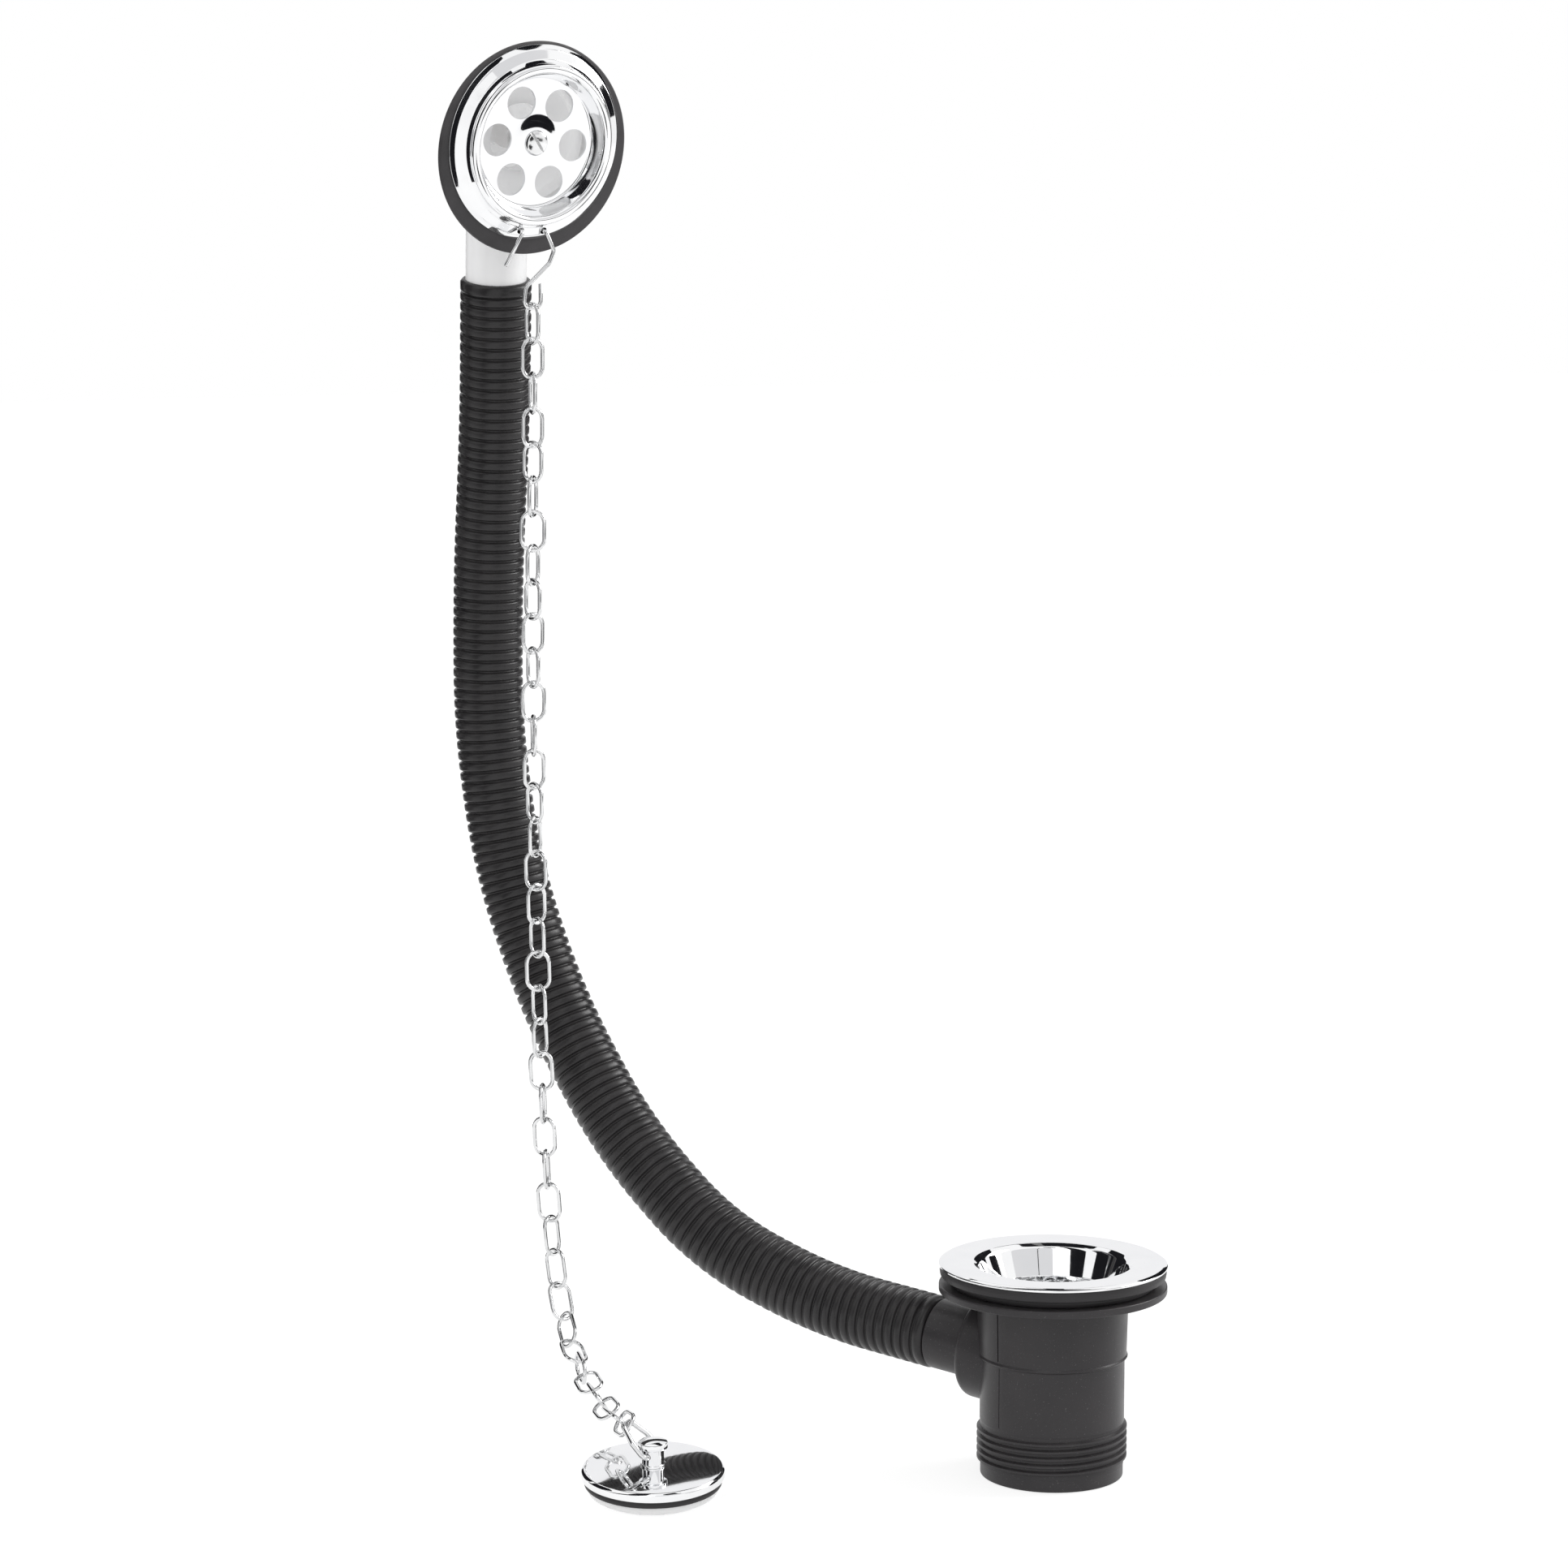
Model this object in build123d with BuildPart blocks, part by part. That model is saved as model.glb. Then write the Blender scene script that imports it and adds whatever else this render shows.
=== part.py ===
from build123d import *
import math
import os

os.makedirs("parts", exist_ok=True)

# Bath waste and overflow, in millimetres.
# The origin is the centre of the outlet's lower rim, on the waste's axis.
# +Z is up, and the overflow's face looks towards -Y.

# Clearances
fit_gap = 0.1  # of a thread, a push fit or a spigot in its hose
loose_gap = 0.3  # between pieces that only pass by one another

# Waste: chrome flange with its cup and grid
flange_top = 68.5
flange_radius = 36.1
flange_edge = 1.2
flange_dip = 0.4  # how much lower the flange is at its mouth
mouth_radius = 23.7
mouth_round = 1.3
cup_radius = mouth_radius - 3.7
cup_floor = 50.0
cone_foot = 58.5  # where the plug's cone ends and the straight wall starts
cup_sheet = 1.0
grid_holes = 6
grid_hole_radius = 4.2
grid_circle = 12.4

# Waste: screw and brass insert
waste_screw_radius = 2.9
waste_screw_length = 22.0
waste_head_radius = 5.2
waste_head_height = 2.6
slot_width = 1.2
slot_depth = 1.2
waste_insert_radius = 4.4
waste_insert_height = 13.0

# Waste: rubber seals
upper_seal_radius = flange_radius - 0.4
upper_seal_height = 3.4
lower_seal_radius = flange_radius - 1.7
lower_seal_height = 2.5
seal_edge_round = 0.8

# Waste: moulded body
body_flange_radius = flange_radius - 0.1
body_flange_height = 2.4
neck_top_radius = 23.9
neck_foot_radius = 23.4
bead_radius = neck_top_radius
bead_height = 38.7
bead_width = 1.5
barrel_radius = 22.8
bore_radius = barrel_radius - 2.8
bore_step = 2.4  # from the underside of the cup to the wider upper bore's foot
thread_radius = 23.9
thread_root = thread_radius - 0.95
outlet_radius = thread_radius - 1.35
outlet_bore_radius = outlet_radius - 1.95
outlet_bore_depth = 20.0
thread_foot = 3.8
thread_pitch = 2.31
thread_turns = 4
collar_radius = thread_radius - 0.3
collar_height = 4.2
boss_radius = 6.8
boss_foot = 23.0
boss_top = 40.0
rib_count = 3
rib_width = 2.4
rib_height = 13.0

# Waste: side branch for the overflow's hose
branch_height = 35.3
branch_direction = Vector(-0.36, 0.93, 0.09).normalized()
chamber_radius = 16.8
chamber_wall = 2.6
chamber_reach = 27.0
chamber_round = 7.0
branch_collar_radius = 11.4
branch_reach = 42.0  # from the waste's axis to the hose's end

# Hose and its spigots
spigot_radius = 10.0
spigot_wall = 1.7
spigot_length = 16.0
hose_wall = 0.75
hose_crest = 0.85  # how far a crest stands out of a groove
hose_pitch = 3.45
hose_sides = 15
cuff_length = 4.0
cuff_bevel = 1.0
first_run_length = 44.0  # straight on from the branch, before the first bend
last_run_length = 48.0  # straight down from the elbow

# Overflow: chrome faceplate
plate_centre = Vector(-99.3, 144.8, 418.0)
plate_lean = 12.0
plate_radius = 31.25
plate_sheet = 0.9
rim_height = 0.9
skirt_height = 3.2
lip_height = 6.4
lip_foot_radius = plate_radius - 4.05
dish_mouth_radius = plate_radius - 8.65
dish_radius = dish_mouth_radius - 1.9
dish_floor = 0.9
crown_height = 0.6
crown_radius = 9.0
crown_flat_radius = 5.0
overflow_holes = 6
overflow_hole_radius = 5.2
overflow_circle = 14.1
overflow_holes_turn = -2.5
hook_hole_radius = 1.15
hook_hole_spacing = 8.6
hook_hole_shift = 1.0
hook_hole_drop = 28.0

# Overflow: screw, insert, seal and elbow
overflow_screw_radius = 2.4
overflow_screw_length = 16.0
overflow_head_radius = 4.1
overflow_head_height = 1.6
slot_turn = -52.0
overflow_insert_radius = 3.4
overflow_insert_height = 10.0
overflow_seal_radius = plate_radius + 2.95
overflow_seal_height = 2.6
overflow_seal_sag = 2.2
overflow_seal_shift = 0.5
elbow_flange_radius = plate_radius - 2.3
elbow_flange_height = 2.4
elbow_cup_radius = 21.6
elbow_cup_depth = 6.0
elbow_wall = 2.0
duct_radius = 12.8
duct_round = 6.0
elbow_depth = 23.0  # from the plate's rim back to the spigot's axis
elbow_drop = 49.5  # from the plate's axis down to the hose's end
elbow_roll = 6.0
elbow_boss_radius = 5.0

# Chain and its hook
hook_wire = 1.3
link_wire = 1.3
link_inner_length = 11.4
link_width = 8.7
link_slack = 0.2
link_end_chords = 4

# Plug, its post and its shackle
plug_x = -118.6
plug_y = 48.9
plug_tilt = 5.0
plug_radius = 22.3
plug_edge = 3.2
plug_crown = 0.7
plug_seal_radius = plug_radius - 0.8
plug_seal_height = 2.0
plug_hub_radius = 8.0
plug_base_radius = plug_radius - 1.7
plug_base_height = 3.7
plug_base_round = 3.3
post_radius = 3.4
post_height = 8.2
post_ring_radius = 3.9
post_ring_height = 0.7
post_head_radius = 4.6
post_head_height = 2.4
post_hole_height = 3.6
post_stem_radius = 2.2
shackle_wire = 1.7
shackle_half_width = 5.4
shackle_reach = 12.4
shackle_rise = 42.0


def section_plane(plane):
    """The plane of a turned piece's section: across is the radius, up is along the piece's axis."""
    return Plane(origin=plane.origin, x_dir=plane.x_dir, z_dir=-plane.y_dir)


def finish(piece, label):
    piece.part.label = label
    export_step(piece.part, f"parts/{label}.step")


# Heights and radii of the waste that follow from its stack of pieces
flange_under = flange_top - flange_edge
body_top = flange_under - upper_seal_height - lower_seal_height
body_flange_under = body_top - body_flange_height
cup_outer = cup_radius + cup_sheet
cup_under = cup_floor - cup_sheet
cone_top_radius = mouth_radius + 1.2 * cup_sheet
seal_bore = cone_top_radius + 2 * loose_gap
cone_slope = (cone_top_radius - cup_outer) / (flange_under - cone_foot)
upper_bore_radius = cup_outer + loose_gap
upper_bore_foot = cup_under - bore_step

# Chrome flange: flat ring, cone for the plug, cup and grid in one
with BuildPart() as waste_flange:
    with BuildSketch(Plane.XZ):
        with BuildLine():
            Polyline(
                (0, cup_under),
                (0, cup_floor),
                (cup_radius, cup_floor),
                (cup_radius, cone_foot),
                (mouth_radius, flange_top - flange_dip - mouth_round),
            )
            TangentArc(
                (mouth_radius, flange_top - flange_dip - mouth_round),
                (mouth_radius + mouth_round, flange_top - flange_dip),
                tangent=(mouth_radius - cup_radius, flange_top - cone_foot),
            )
            Polyline(
                (mouth_radius + mouth_round, flange_top - flange_dip),
                (flange_radius - flange_edge, flange_top),
                (flange_radius, flange_top - flange_edge / 2),
                (flange_radius, flange_under),
                (cone_top_radius, flange_under),
                (cup_outer, cone_foot),
                (cup_outer, cup_under),
                (0, cup_under),
            )
        make_face()
    revolve(axis=Axis.Z)
    with BuildSketch(Plane.XY.offset(cup_under)):
        with PolarLocations(grid_circle, grid_holes):
            Circle(grid_hole_radius)
        Circle(waste_screw_radius + loose_gap)
    extrude(amount=cup_sheet, mode=Mode.SUBTRACT)
finish(waste_flange, "waste_flange")

# Screw through the grid
with BuildPart() as waste_screw:
    with BuildSketch(Plane.XY.offset(cup_floor)):
        Circle(waste_head_radius)
    extrude(amount=waste_head_height)
    fillet(waste_screw.faces().sort_by(Axis.Z)[-1].edges(), waste_head_height / 2)
    with BuildSketch(Plane.XY.offset(cup_floor + waste_head_height)):
        Rectangle(2 * waste_head_radius, slot_width)
    extrude(amount=-slot_depth, mode=Mode.SUBTRACT)
    with BuildSketch(Plane.XY.offset(cup_floor)):
        Circle(waste_screw_radius)
    extrude(amount=-waste_screw_length)
finish(waste_screw, "waste_screw")

# Brass insert in the body's boss, which the screw pulls the flange down to
insert_foot = boss_top - waste_insert_height
with BuildPart() as waste_insert:
    with BuildSketch(Plane.XY.offset(insert_foot)):
        Circle(waste_insert_radius)
        Circle(waste_screw_radius + fit_gap, mode=Mode.SUBTRACT)
    extrude(amount=waste_insert_height)
finish(waste_insert, "waste_insert")

# Rubber seals above and below the bath's floor
with BuildPart() as upper_seal:
    with BuildSketch(Plane.XY.offset(flange_under - upper_seal_height)):
        Circle(upper_seal_radius)
        Circle(seal_bore, mode=Mode.SUBTRACT)
    extrude(amount=upper_seal_height)
    rims = upper_seal.edges().filter_by(GeomType.CIRCLE).sort_by(SortBy.RADIUS)[-2:]
    fillet(rims, seal_edge_round)
finish(upper_seal, "upper_seal")

with BuildPart() as lower_seal:
    with BuildSketch(Plane.XY.offset(body_top)):
        Circle(lower_seal_radius)
        Circle(seal_bore, mode=Mode.SUBTRACT)
    extrude(amount=lower_seal_height)
finish(lower_seal, "lower_seal")

# Moulded body: outlet with its thread, barrel, neck and flange, turned about the axis
branch = Plane(
    origin=(0, 0, branch_height),
    x_dir=Vector(0, 0, 1).cross(branch_direction),
    z_dir=branch_direction,
)
thread_top = thread_foot + thread_turns * thread_pitch
collar_top = thread_top + collar_height
body_outline = [(0, 0), (outlet_radius, 0), (outlet_radius, thread_foot)]
for turn in range(thread_turns):
    foot = thread_foot + turn * thread_pitch
    body_outline += [
        (thread_root, foot + 0.1 * thread_pitch),
        (thread_radius, foot + 0.4 * thread_pitch),
        (thread_radius, foot + 0.6 * thread_pitch),
        (thread_root, foot + 0.9 * thread_pitch),
    ]
body_outline += [
    (collar_radius, thread_top),
    (collar_radius, collar_top - 0.6),
    (barrel_radius, collar_top),
    (barrel_radius, bead_height - bead_width / 2),
    (bead_radius, bead_height - bead_width / 4),
    (bead_radius, bead_height + bead_width / 4),
    (neck_foot_radius, bead_height + bead_width / 2),
    (neck_top_radius, body_flange_under),
    (body_flange_radius, body_flange_under),
    (body_flange_radius, body_top),
    (0, body_top),
]
bore_outline = [
    (0, 0),
    (outlet_bore_radius, 0),
    (outlet_bore_radius, outlet_bore_depth),
    (bore_radius, outlet_bore_depth),
    (bore_radius, upper_bore_foot),
    (upper_bore_radius, upper_bore_foot),
    (upper_bore_radius, cone_foot),
    (upper_bore_radius + cone_slope * (body_top - cone_foot), body_top),
    (0, body_top),
]
with BuildPart() as waste_body:
    with BuildSketch(Plane.XZ):
        with BuildLine():
            Polyline(*body_outline, close=True)
        make_face()
    revolve(axis=Axis.Z)
    # Rounded chamber at the side, and the spigot that leaves it
    with BuildSketch(branch):
        Circle(chamber_radius)
    extrude(amount=chamber_reach)
    chamber_rim = waste_body.edges().filter_by(GeomType.CIRCLE).filter_by(
        lambda edge: abs(edge.radius - chamber_radius) < 0.01
    )
    fillet(chamber_rim, chamber_round)
    with BuildSketch(branch.offset(chamber_reach / 2)):
        Circle(branch_collar_radius)
    extrude(amount=branch_reach - chamber_reach / 2 - loose_gap)
    with BuildSketch(branch.offset(chamber_reach / 2)):
        Circle(spigot_radius)
    extrude(amount=branch_reach - chamber_reach / 2 + spigot_length)
    # Bores
    with BuildSketch(Plane.XZ):
        with BuildLine():
            Polyline(*bore_outline, close=True)
        make_face()
    revolve(axis=Axis.Z, mode=Mode.SUBTRACT)
    with BuildSketch(branch.offset(bore_radius / 2)):
        Circle(chamber_radius - chamber_wall)
    extrude(amount=chamber_reach - chamber_wall - bore_radius / 2, mode=Mode.SUBTRACT)
    with BuildSketch(branch.offset(bore_radius / 2)):
        Circle(spigot_radius - spigot_wall)
    extrude(amount=branch_reach + spigot_length, mode=Mode.SUBTRACT)
    # Boss for the screw's insert, on ribs clear of the side branch
    with BuildSketch(Plane.XY.offset(boss_foot)):
        Circle(boss_radius)
    extrude(amount=boss_top - boss_foot)
    branch_angle = math.degrees(math.atan2(branch_direction.Y, branch_direction.X))
    with BuildSketch(Plane.XY.offset(boss_foot)):
        for rib in range(rib_count):
            turn = branch_angle + (rib + 0.5) * 360 / rib_count
            with Locations(Location((0, 0, 0), (0, 0, turn))):
                Rectangle(bore_radius + 0.5, rib_width, align=(Align.MIN, Align.CENTER))
    extrude(amount=rib_height)
    with BuildSketch(Plane.XY.offset(boss_top)):
        Circle(waste_insert_radius + fit_gap)
    extrude(amount=-waste_insert_height, mode=Mode.SUBTRACT)
finish(waste_body, "waste_body")

# Overflow: its own plane leans forward, with the plate's axis as its normal
lean = math.radians(plate_lean)
plate = Plane(
    origin=plate_centre,
    x_dir=(1, 0, 0),
    z_dir=(0, -math.cos(lean), -math.sin(lean)),
)
plate_section = section_plane(plate)
plate_axis = Axis(plate_centre, plate.z_dir)

# Pressed faceplate: rim, skirt, raised lip and dish, at one sheet's thickness
rim_inner = plate_radius - 1.1 * plate_sheet
lip_middle = (dish_mouth_radius + lip_foot_radius) / 2 - 0.6
crown_top = dish_floor + crown_height
with BuildPart() as faceplate:
    with BuildSketch(plate_section):
        with BuildLine():
            Polyline(
                (0, dish_floor - plate_sheet),
                (0, crown_top),
                (crown_flat_radius, crown_top),
                (crown_radius, dish_floor),
                (dish_radius, dish_floor),
                (dish_mouth_radius, lip_height - 1.8),
            )
            ThreePointArc(
                (dish_mouth_radius, lip_height - 1.8),
                (lip_middle, lip_height),
                (lip_foot_radius - 1.2, skirt_height + 1.2),
            )
            ThreePointArc(
                (lip_foot_radius - 1.2, skirt_height + 1.2),
                (lip_foot_radius - 0.7, skirt_height + 0.3),
                (lip_foot_radius, skirt_height),
            )
            Polyline(
                (lip_foot_radius, skirt_height),
                (rim_inner, rim_height + 1.0),
                (plate_radius, rim_height),
                (plate_radius, 0),
                (rim_inner, 0),
                (rim_inner - 0.2, rim_height),
                (lip_foot_radius, skirt_height - plate_sheet),
                (lip_foot_radius - 1.9, skirt_height - plate_sheet + 0.6),
                (lip_foot_radius - 2.4, skirt_height + 1.0),
            )
            ThreePointArc(
                (lip_foot_radius - 2.4, skirt_height + 1.0),
                (lip_middle, lip_height - plate_sheet),
                (dish_mouth_radius + plate_sheet, lip_height - 2.2),
            )
            Polyline(
                (dish_mouth_radius + plate_sheet, lip_height - 2.2),
                (dish_radius + plate_sheet, dish_floor - plate_sheet),
                (0, dish_floor - plate_sheet),
            )
        make_face()
    revolve(axis=plate_axis)
    with BuildSketch(plate.offset(dish_floor - plate_sheet)):
        with PolarLocations(overflow_circle, overflow_holes, start_angle=overflow_holes_turn):
            Circle(overflow_hole_radius)
        Circle(overflow_screw_radius + loose_gap)
    extrude(amount=plate_sheet + crown_height, mode=Mode.SUBTRACT)
    with BuildSketch(plate):
        with Locations((hook_hole_shift, -hook_hole_drop)):
            with GridLocations(hook_hole_spacing, 1, 2, 1):
                Circle(hook_hole_radius)
    extrude(amount=lip_height, mode=Mode.SUBTRACT)
finish(faceplate, "faceplate")

# Slotted screw in the middle of the dish
screw_seat = plate.offset(crown_top)
with BuildPart() as overflow_screw:
    with BuildSketch(screw_seat):
        Circle(overflow_head_radius)
    extrude(amount=overflow_head_height)
    head_rim = overflow_screw.edges().filter_by(GeomType.CIRCLE).sort_by(plate_axis)[-1]
    fillet(head_rim, overflow_head_height / 2)
    with BuildSketch(screw_seat.offset(overflow_head_height)):
        Rectangle(2 * overflow_head_radius, slot_width, rotation=slot_turn)
    extrude(amount=-slot_depth, mode=Mode.SUBTRACT)
    with BuildSketch(screw_seat):
        Circle(overflow_screw_radius)
    extrude(amount=-overflow_screw_length)
finish(overflow_screw, "overflow_screw")

# Rubber seal, which hangs a little low and to one side on the plate
seal_shift = Vector(overflow_seal_shift, -overflow_seal_sag, 0)
seal_middle = plate.shift_origin(plate.from_local_coords(seal_shift))
seal_hole = dish_mouth_radius + plate_sheet + seal_shift.length + loose_gap
with BuildPart() as overflow_seal:
    with BuildSketch(seal_middle):
        Circle(overflow_seal_radius)
        Circle(seal_hole, mode=Mode.SUBTRACT)
    extrude(amount=-overflow_seal_height)
    seal_rims = overflow_seal.edges().filter_by(GeomType.CIRCLE).sort_by(SortBy.RADIUS)[-2:]
    fillet(seal_rims, seal_edge_round)
finish(overflow_seal, "overflow_seal")

# Elbow behind the seal: flange, shallow cup, duct and the spigot that drops into the hose
roll = math.radians(elbow_roll)
elbow_front = plate.offset(-overflow_seal_height)
cup_back = overflow_seal_height + elbow_cup_depth + elbow_wall
duct_back = elbow_depth + duct_radius - elbow_wall
drop_direction = plate.x_dir * math.sin(roll) - plate.y_dir * math.cos(roll)
spigot_start = plate_centre - plate.z_dir * elbow_depth
spigot_plane = Plane(origin=spigot_start, x_dir=plate.z_dir, z_dir=drop_direction)
boss_front = cup_back - elbow_wall
with BuildPart() as overflow_elbow:
    with BuildSketch(elbow_front):
        Circle(elbow_flange_radius)
    extrude(amount=-elbow_flange_height)
    with BuildSketch(elbow_front):
        Circle(elbow_cup_radius)
    extrude(amount=-(cup_back - overflow_seal_height))
    with BuildSketch(elbow_front):
        Circle(duct_radius)
    extrude(amount=-(duct_back - overflow_seal_height))
    duct_rim = overflow_elbow.edges().filter_by(GeomType.CIRCLE).sort_by(plate_axis)[0]
    fillet(duct_rim, duct_round)
    with BuildSketch(spigot_plane):
        Circle(spigot_radius)
    extrude(amount=elbow_drop + spigot_length)
    with BuildSketch(elbow_front):
        Circle(elbow_cup_radius - elbow_wall)
    extrude(amount=-elbow_cup_depth, mode=Mode.SUBTRACT)
    with BuildSketch(elbow_front):
        Circle(duct_radius - elbow_wall)
    extrude(amount=-(duct_back - elbow_wall - overflow_seal_height), mode=Mode.SUBTRACT)
    with BuildSketch(spigot_plane):
        Circle(spigot_radius - spigot_wall)
    extrude(amount=elbow_drop + spigot_length, mode=Mode.SUBTRACT)
    with BuildSketch(plate.offset(-duct_back + elbow_wall / 2)):
        Circle(elbow_boss_radius)
    extrude(amount=duct_back - elbow_wall / 2 - boss_front)
    with BuildSketch(plate.offset(-boss_front)):
        Circle(overflow_insert_radius + fit_gap)
    extrude(amount=-overflow_insert_height, mode=Mode.SUBTRACT)
finish(overflow_elbow, "overflow_elbow")

with BuildPart() as overflow_insert:
    with BuildSketch(plate.offset(-boss_front)):
        Circle(overflow_insert_radius)
        Circle(overflow_screw_radius + fit_gap, mode=Mode.SUBTRACT)
    extrude(amount=-overflow_insert_height)
finish(overflow_insert, "overflow_insert")

# Corrugated hose: rings along its route, lofted crest to groove, with a plain cuff at each end
hose_bore = spigot_radius + fit_gap
groove_radius = hose_bore + hose_wall
crest_radius = groove_radius + hose_crest
hose_start = branch.from_local_coords(Vector(0, 0, branch_reach))
hose_end = spigot_start + drop_direction * elbow_drop
hose_corners = [
    hose_start,
    hose_start + branch_direction * first_run_length,
    Vector(-49, 118, 58),
    Vector(-62.2, 152.3, 88.5),
    Vector(-72, 180.7, 130.5),
    Vector(-79.8, 197, 176),
    Vector(-84.9, 200.7, 224),
    Vector(-86.8, 196.7, 276),
    hose_end + drop_direction * last_run_length,
    hose_end,
]
hose_radii = []
for before, corner, after in zip(hose_corners, hose_corners[1:], hose_corners[2:]):
    run = min((corner - before).length, (after - corner).length)
    turn = (corner - before).get_angle(after - corner)
    hose_radii.append(0.45 * run / math.tan(math.radians(turn / 2)))
print("hose bends, smallest radius", round(min(hose_radii)), "mm")
with BuildLine() as hose_route:
    FilletPolyline(*hose_corners, radius=hose_radii)
hose_line = hose_route.wire()
ridged_length = hose_line.length - 2 * cuff_length
ring_count = round(ridged_length / hose_pitch)
half_pitch = ridged_length / ring_count / 2
stations = [
    (0, crest_radius - cuff_bevel),
    (cuff_bevel, crest_radius),
    (cuff_length, crest_radius),
]
for step in range(1, 2 * ring_count):
    stations.append((cuff_length + step * half_pitch, groove_radius if step % 2 else crest_radius))
stations += [
    (hose_line.length - cuff_length, crest_radius),
    (hose_line.length - cuff_bevel, crest_radius),
    (hose_line.length, crest_radius - cuff_bevel),
]
bend_side = Vector(0.94, 0.35, 0)


def across(curve, distance, side):
    """The plane across a curve at a distance along it, with its x direction towards a side."""
    tangent = curve.tangent_at(distance, position_mode=PositionMode.LENGTH)
    x_dir = side - tangent * side.dot(tangent)
    return Plane(
        origin=curve.position_at(distance, position_mode=PositionMode.LENGTH),
        x_dir=x_dir,
        z_dir=tangent,
    )


with BuildPart() as overflow_hose:
    for distance, radius in stations:
        with BuildSketch(across(hose_line, distance, bend_side)):
            RegularPolygon(radius, hose_sides, major_radius=False)
    loft(ruled=True)
    with BuildSketch(across(hose_line, 0, bend_side)):
        Circle(hose_bore)
    sweep(path=hose_line, mode=Mode.SUBTRACT)
finish(overflow_hose, "overflow_hose")

# Wire hook: through both holes behind the skirt, then down to the loop that holds the chain
left_hole = hook_hole_shift - hook_hole_spacing / 2
right_hole = hook_hole_shift + hook_hole_spacing / 2
behind = 0.2 + hook_wire / 2
loop_foot = -52.0
loop_out = 8.4  # how far the hook's loop stands off the plate's rim plane
hook_points = [
    (-9.4, -38.9, 5.8),
    (left_hole, -hook_hole_drop, 4.4),
    (left_hole, -hook_hole_drop, behind),
    (right_hole, -hook_hole_drop, behind),
    (right_hole, -hook_hole_drop, 4.4),
    (8.6, -34.0, 5.0),
    (7.0, -38.0, 5.5),
    (-1.9, -45.4, 7.2),
    (-2.8, loop_foot, loop_out),
    (3.8, loop_foot, loop_out),
    (3.4, -44.2, 7.2),
]
hook_bends = [1.2, 0.8, 0.8, 1.2, 1.8, 3.0, 2.5, 2.6, 2.6]
with BuildPart() as chain_hook:
    with BuildLine() as hook_line:
        FilletPolyline(*[plate.from_local_coords(Vector(*p)) for p in hook_points], radius=hook_bends)
    with BuildSketch(across(hook_line.wire(), 0, plate.z_dir)):
        Circle(hook_wire / 2)
    sweep(path=hook_line.wire())
finish(chain_hook, "chain_hook")

# Plug: its plane stands on the floor at the base's lowest edge
tilt = math.radians(plug_tilt)
flat_radius = plug_base_radius - plug_base_round
plug_rise = flat_radius * math.sin(tilt) + plug_base_round * (1 - math.cos(tilt))
towards_front = Vector(-0.574, -0.819, 0)
plug = Plane(
    origin=(plug_x, plug_y, plug_rise),
    x_dir=Vector(0, 0, 1).cross(towards_front),
    z_dir=towards_front * math.sin(tilt) + Vector(0, 0, math.cos(tilt)),
)
plug_section = section_plane(plug)
plug_axis = Axis(plug.origin, plug.z_dir)
cap_foot = plug_base_height + plug_seal_height
cap_top = cap_foot + plug_edge
crown_z = cap_top + plug_crown
stem_hole = post_stem_radius + fit_gap

with BuildPart() as plug_base:
    with BuildSketch(plug):
        Circle(plug_base_radius)
    extrude(amount=plug_base_height)
    fillet(plug_base.edges().filter_by(GeomType.CIRCLE).sort_by(plug_axis)[0], plug_base_round)
    with BuildSketch(plug.offset(plug_base_height)):
        Circle(plug_hub_radius - fit_gap)
    extrude(amount=plug_seal_height)
    with BuildSketch(plug):
        Circle(stem_hole)
    extrude(amount=cap_foot, mode=Mode.SUBTRACT)
finish(plug_base, "plug_base")

with BuildPart() as plug_seal:
    with BuildSketch(plug.offset(plug_base_height)):
        Circle(plug_seal_radius)
        Circle(plug_hub_radius, mode=Mode.SUBTRACT)
    extrude(amount=plug_seal_height)
finish(plug_seal, "plug_seal")

with BuildPart() as plug_cap:
    with BuildSketch(plug_section):
        with BuildLine():
            Polyline(
                (stem_hole, crown_z),
                (stem_hole, cap_foot),
                (plug_radius - 0.5, cap_foot),
                (plug_radius, cap_foot + 0.5),
                (plug_radius, cap_top - 0.7),
                (plug_radius - 0.7, cap_top),
            )
            ThreePointArc(
                (plug_radius - 0.7, cap_top),
                (plug_radius / 2, cap_top + 0.76 * plug_crown),
                (stem_hole, crown_z),
            )
        make_face()
    revolve(axis=plug_axis)
finish(plug_cap, "plug_cap")

# Post: stem through the plug, ring, body with a cross hole, and head
post_foot = plug.offset(crown_z)
along_hole = Vector(0.876, 0.485, 0)
with BuildPart() as plug_post:
    with BuildSketch(plug.offset(0.5)):
        Circle(post_stem_radius)
    extrude(amount=crown_z)
    with BuildSketch(post_foot):
        Circle(post_ring_radius)
    extrude(amount=post_ring_height)
    with BuildSketch(post_foot):
        Circle(post_radius)
    extrude(amount=post_height - post_head_height)
    with BuildSketch(post_foot.offset(post_height - post_head_height)):
        Circle(post_head_radius)
    extrude(amount=post_head_height)
    head_rims = plug_post.edges().filter_by(GeomType.CIRCLE).sort_by(plug_axis)[-1]
    chamfer(head_rims, 0.4)
    hole_middle = plug.origin + plug.z_dir * (crown_z + post_hole_height)
    hole_direction = (along_hole - plug.z_dir * along_hole.dot(plug.z_dir)).normalized()
    with BuildSketch(Plane(origin=hole_middle, z_dir=hole_direction)):
        Circle(shackle_wire / 2 + fit_gap)
    extrude(amount=2 * post_radius, both=True, mode=Mode.SUBTRACT)
finish(plug_post, "plug_post")

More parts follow.
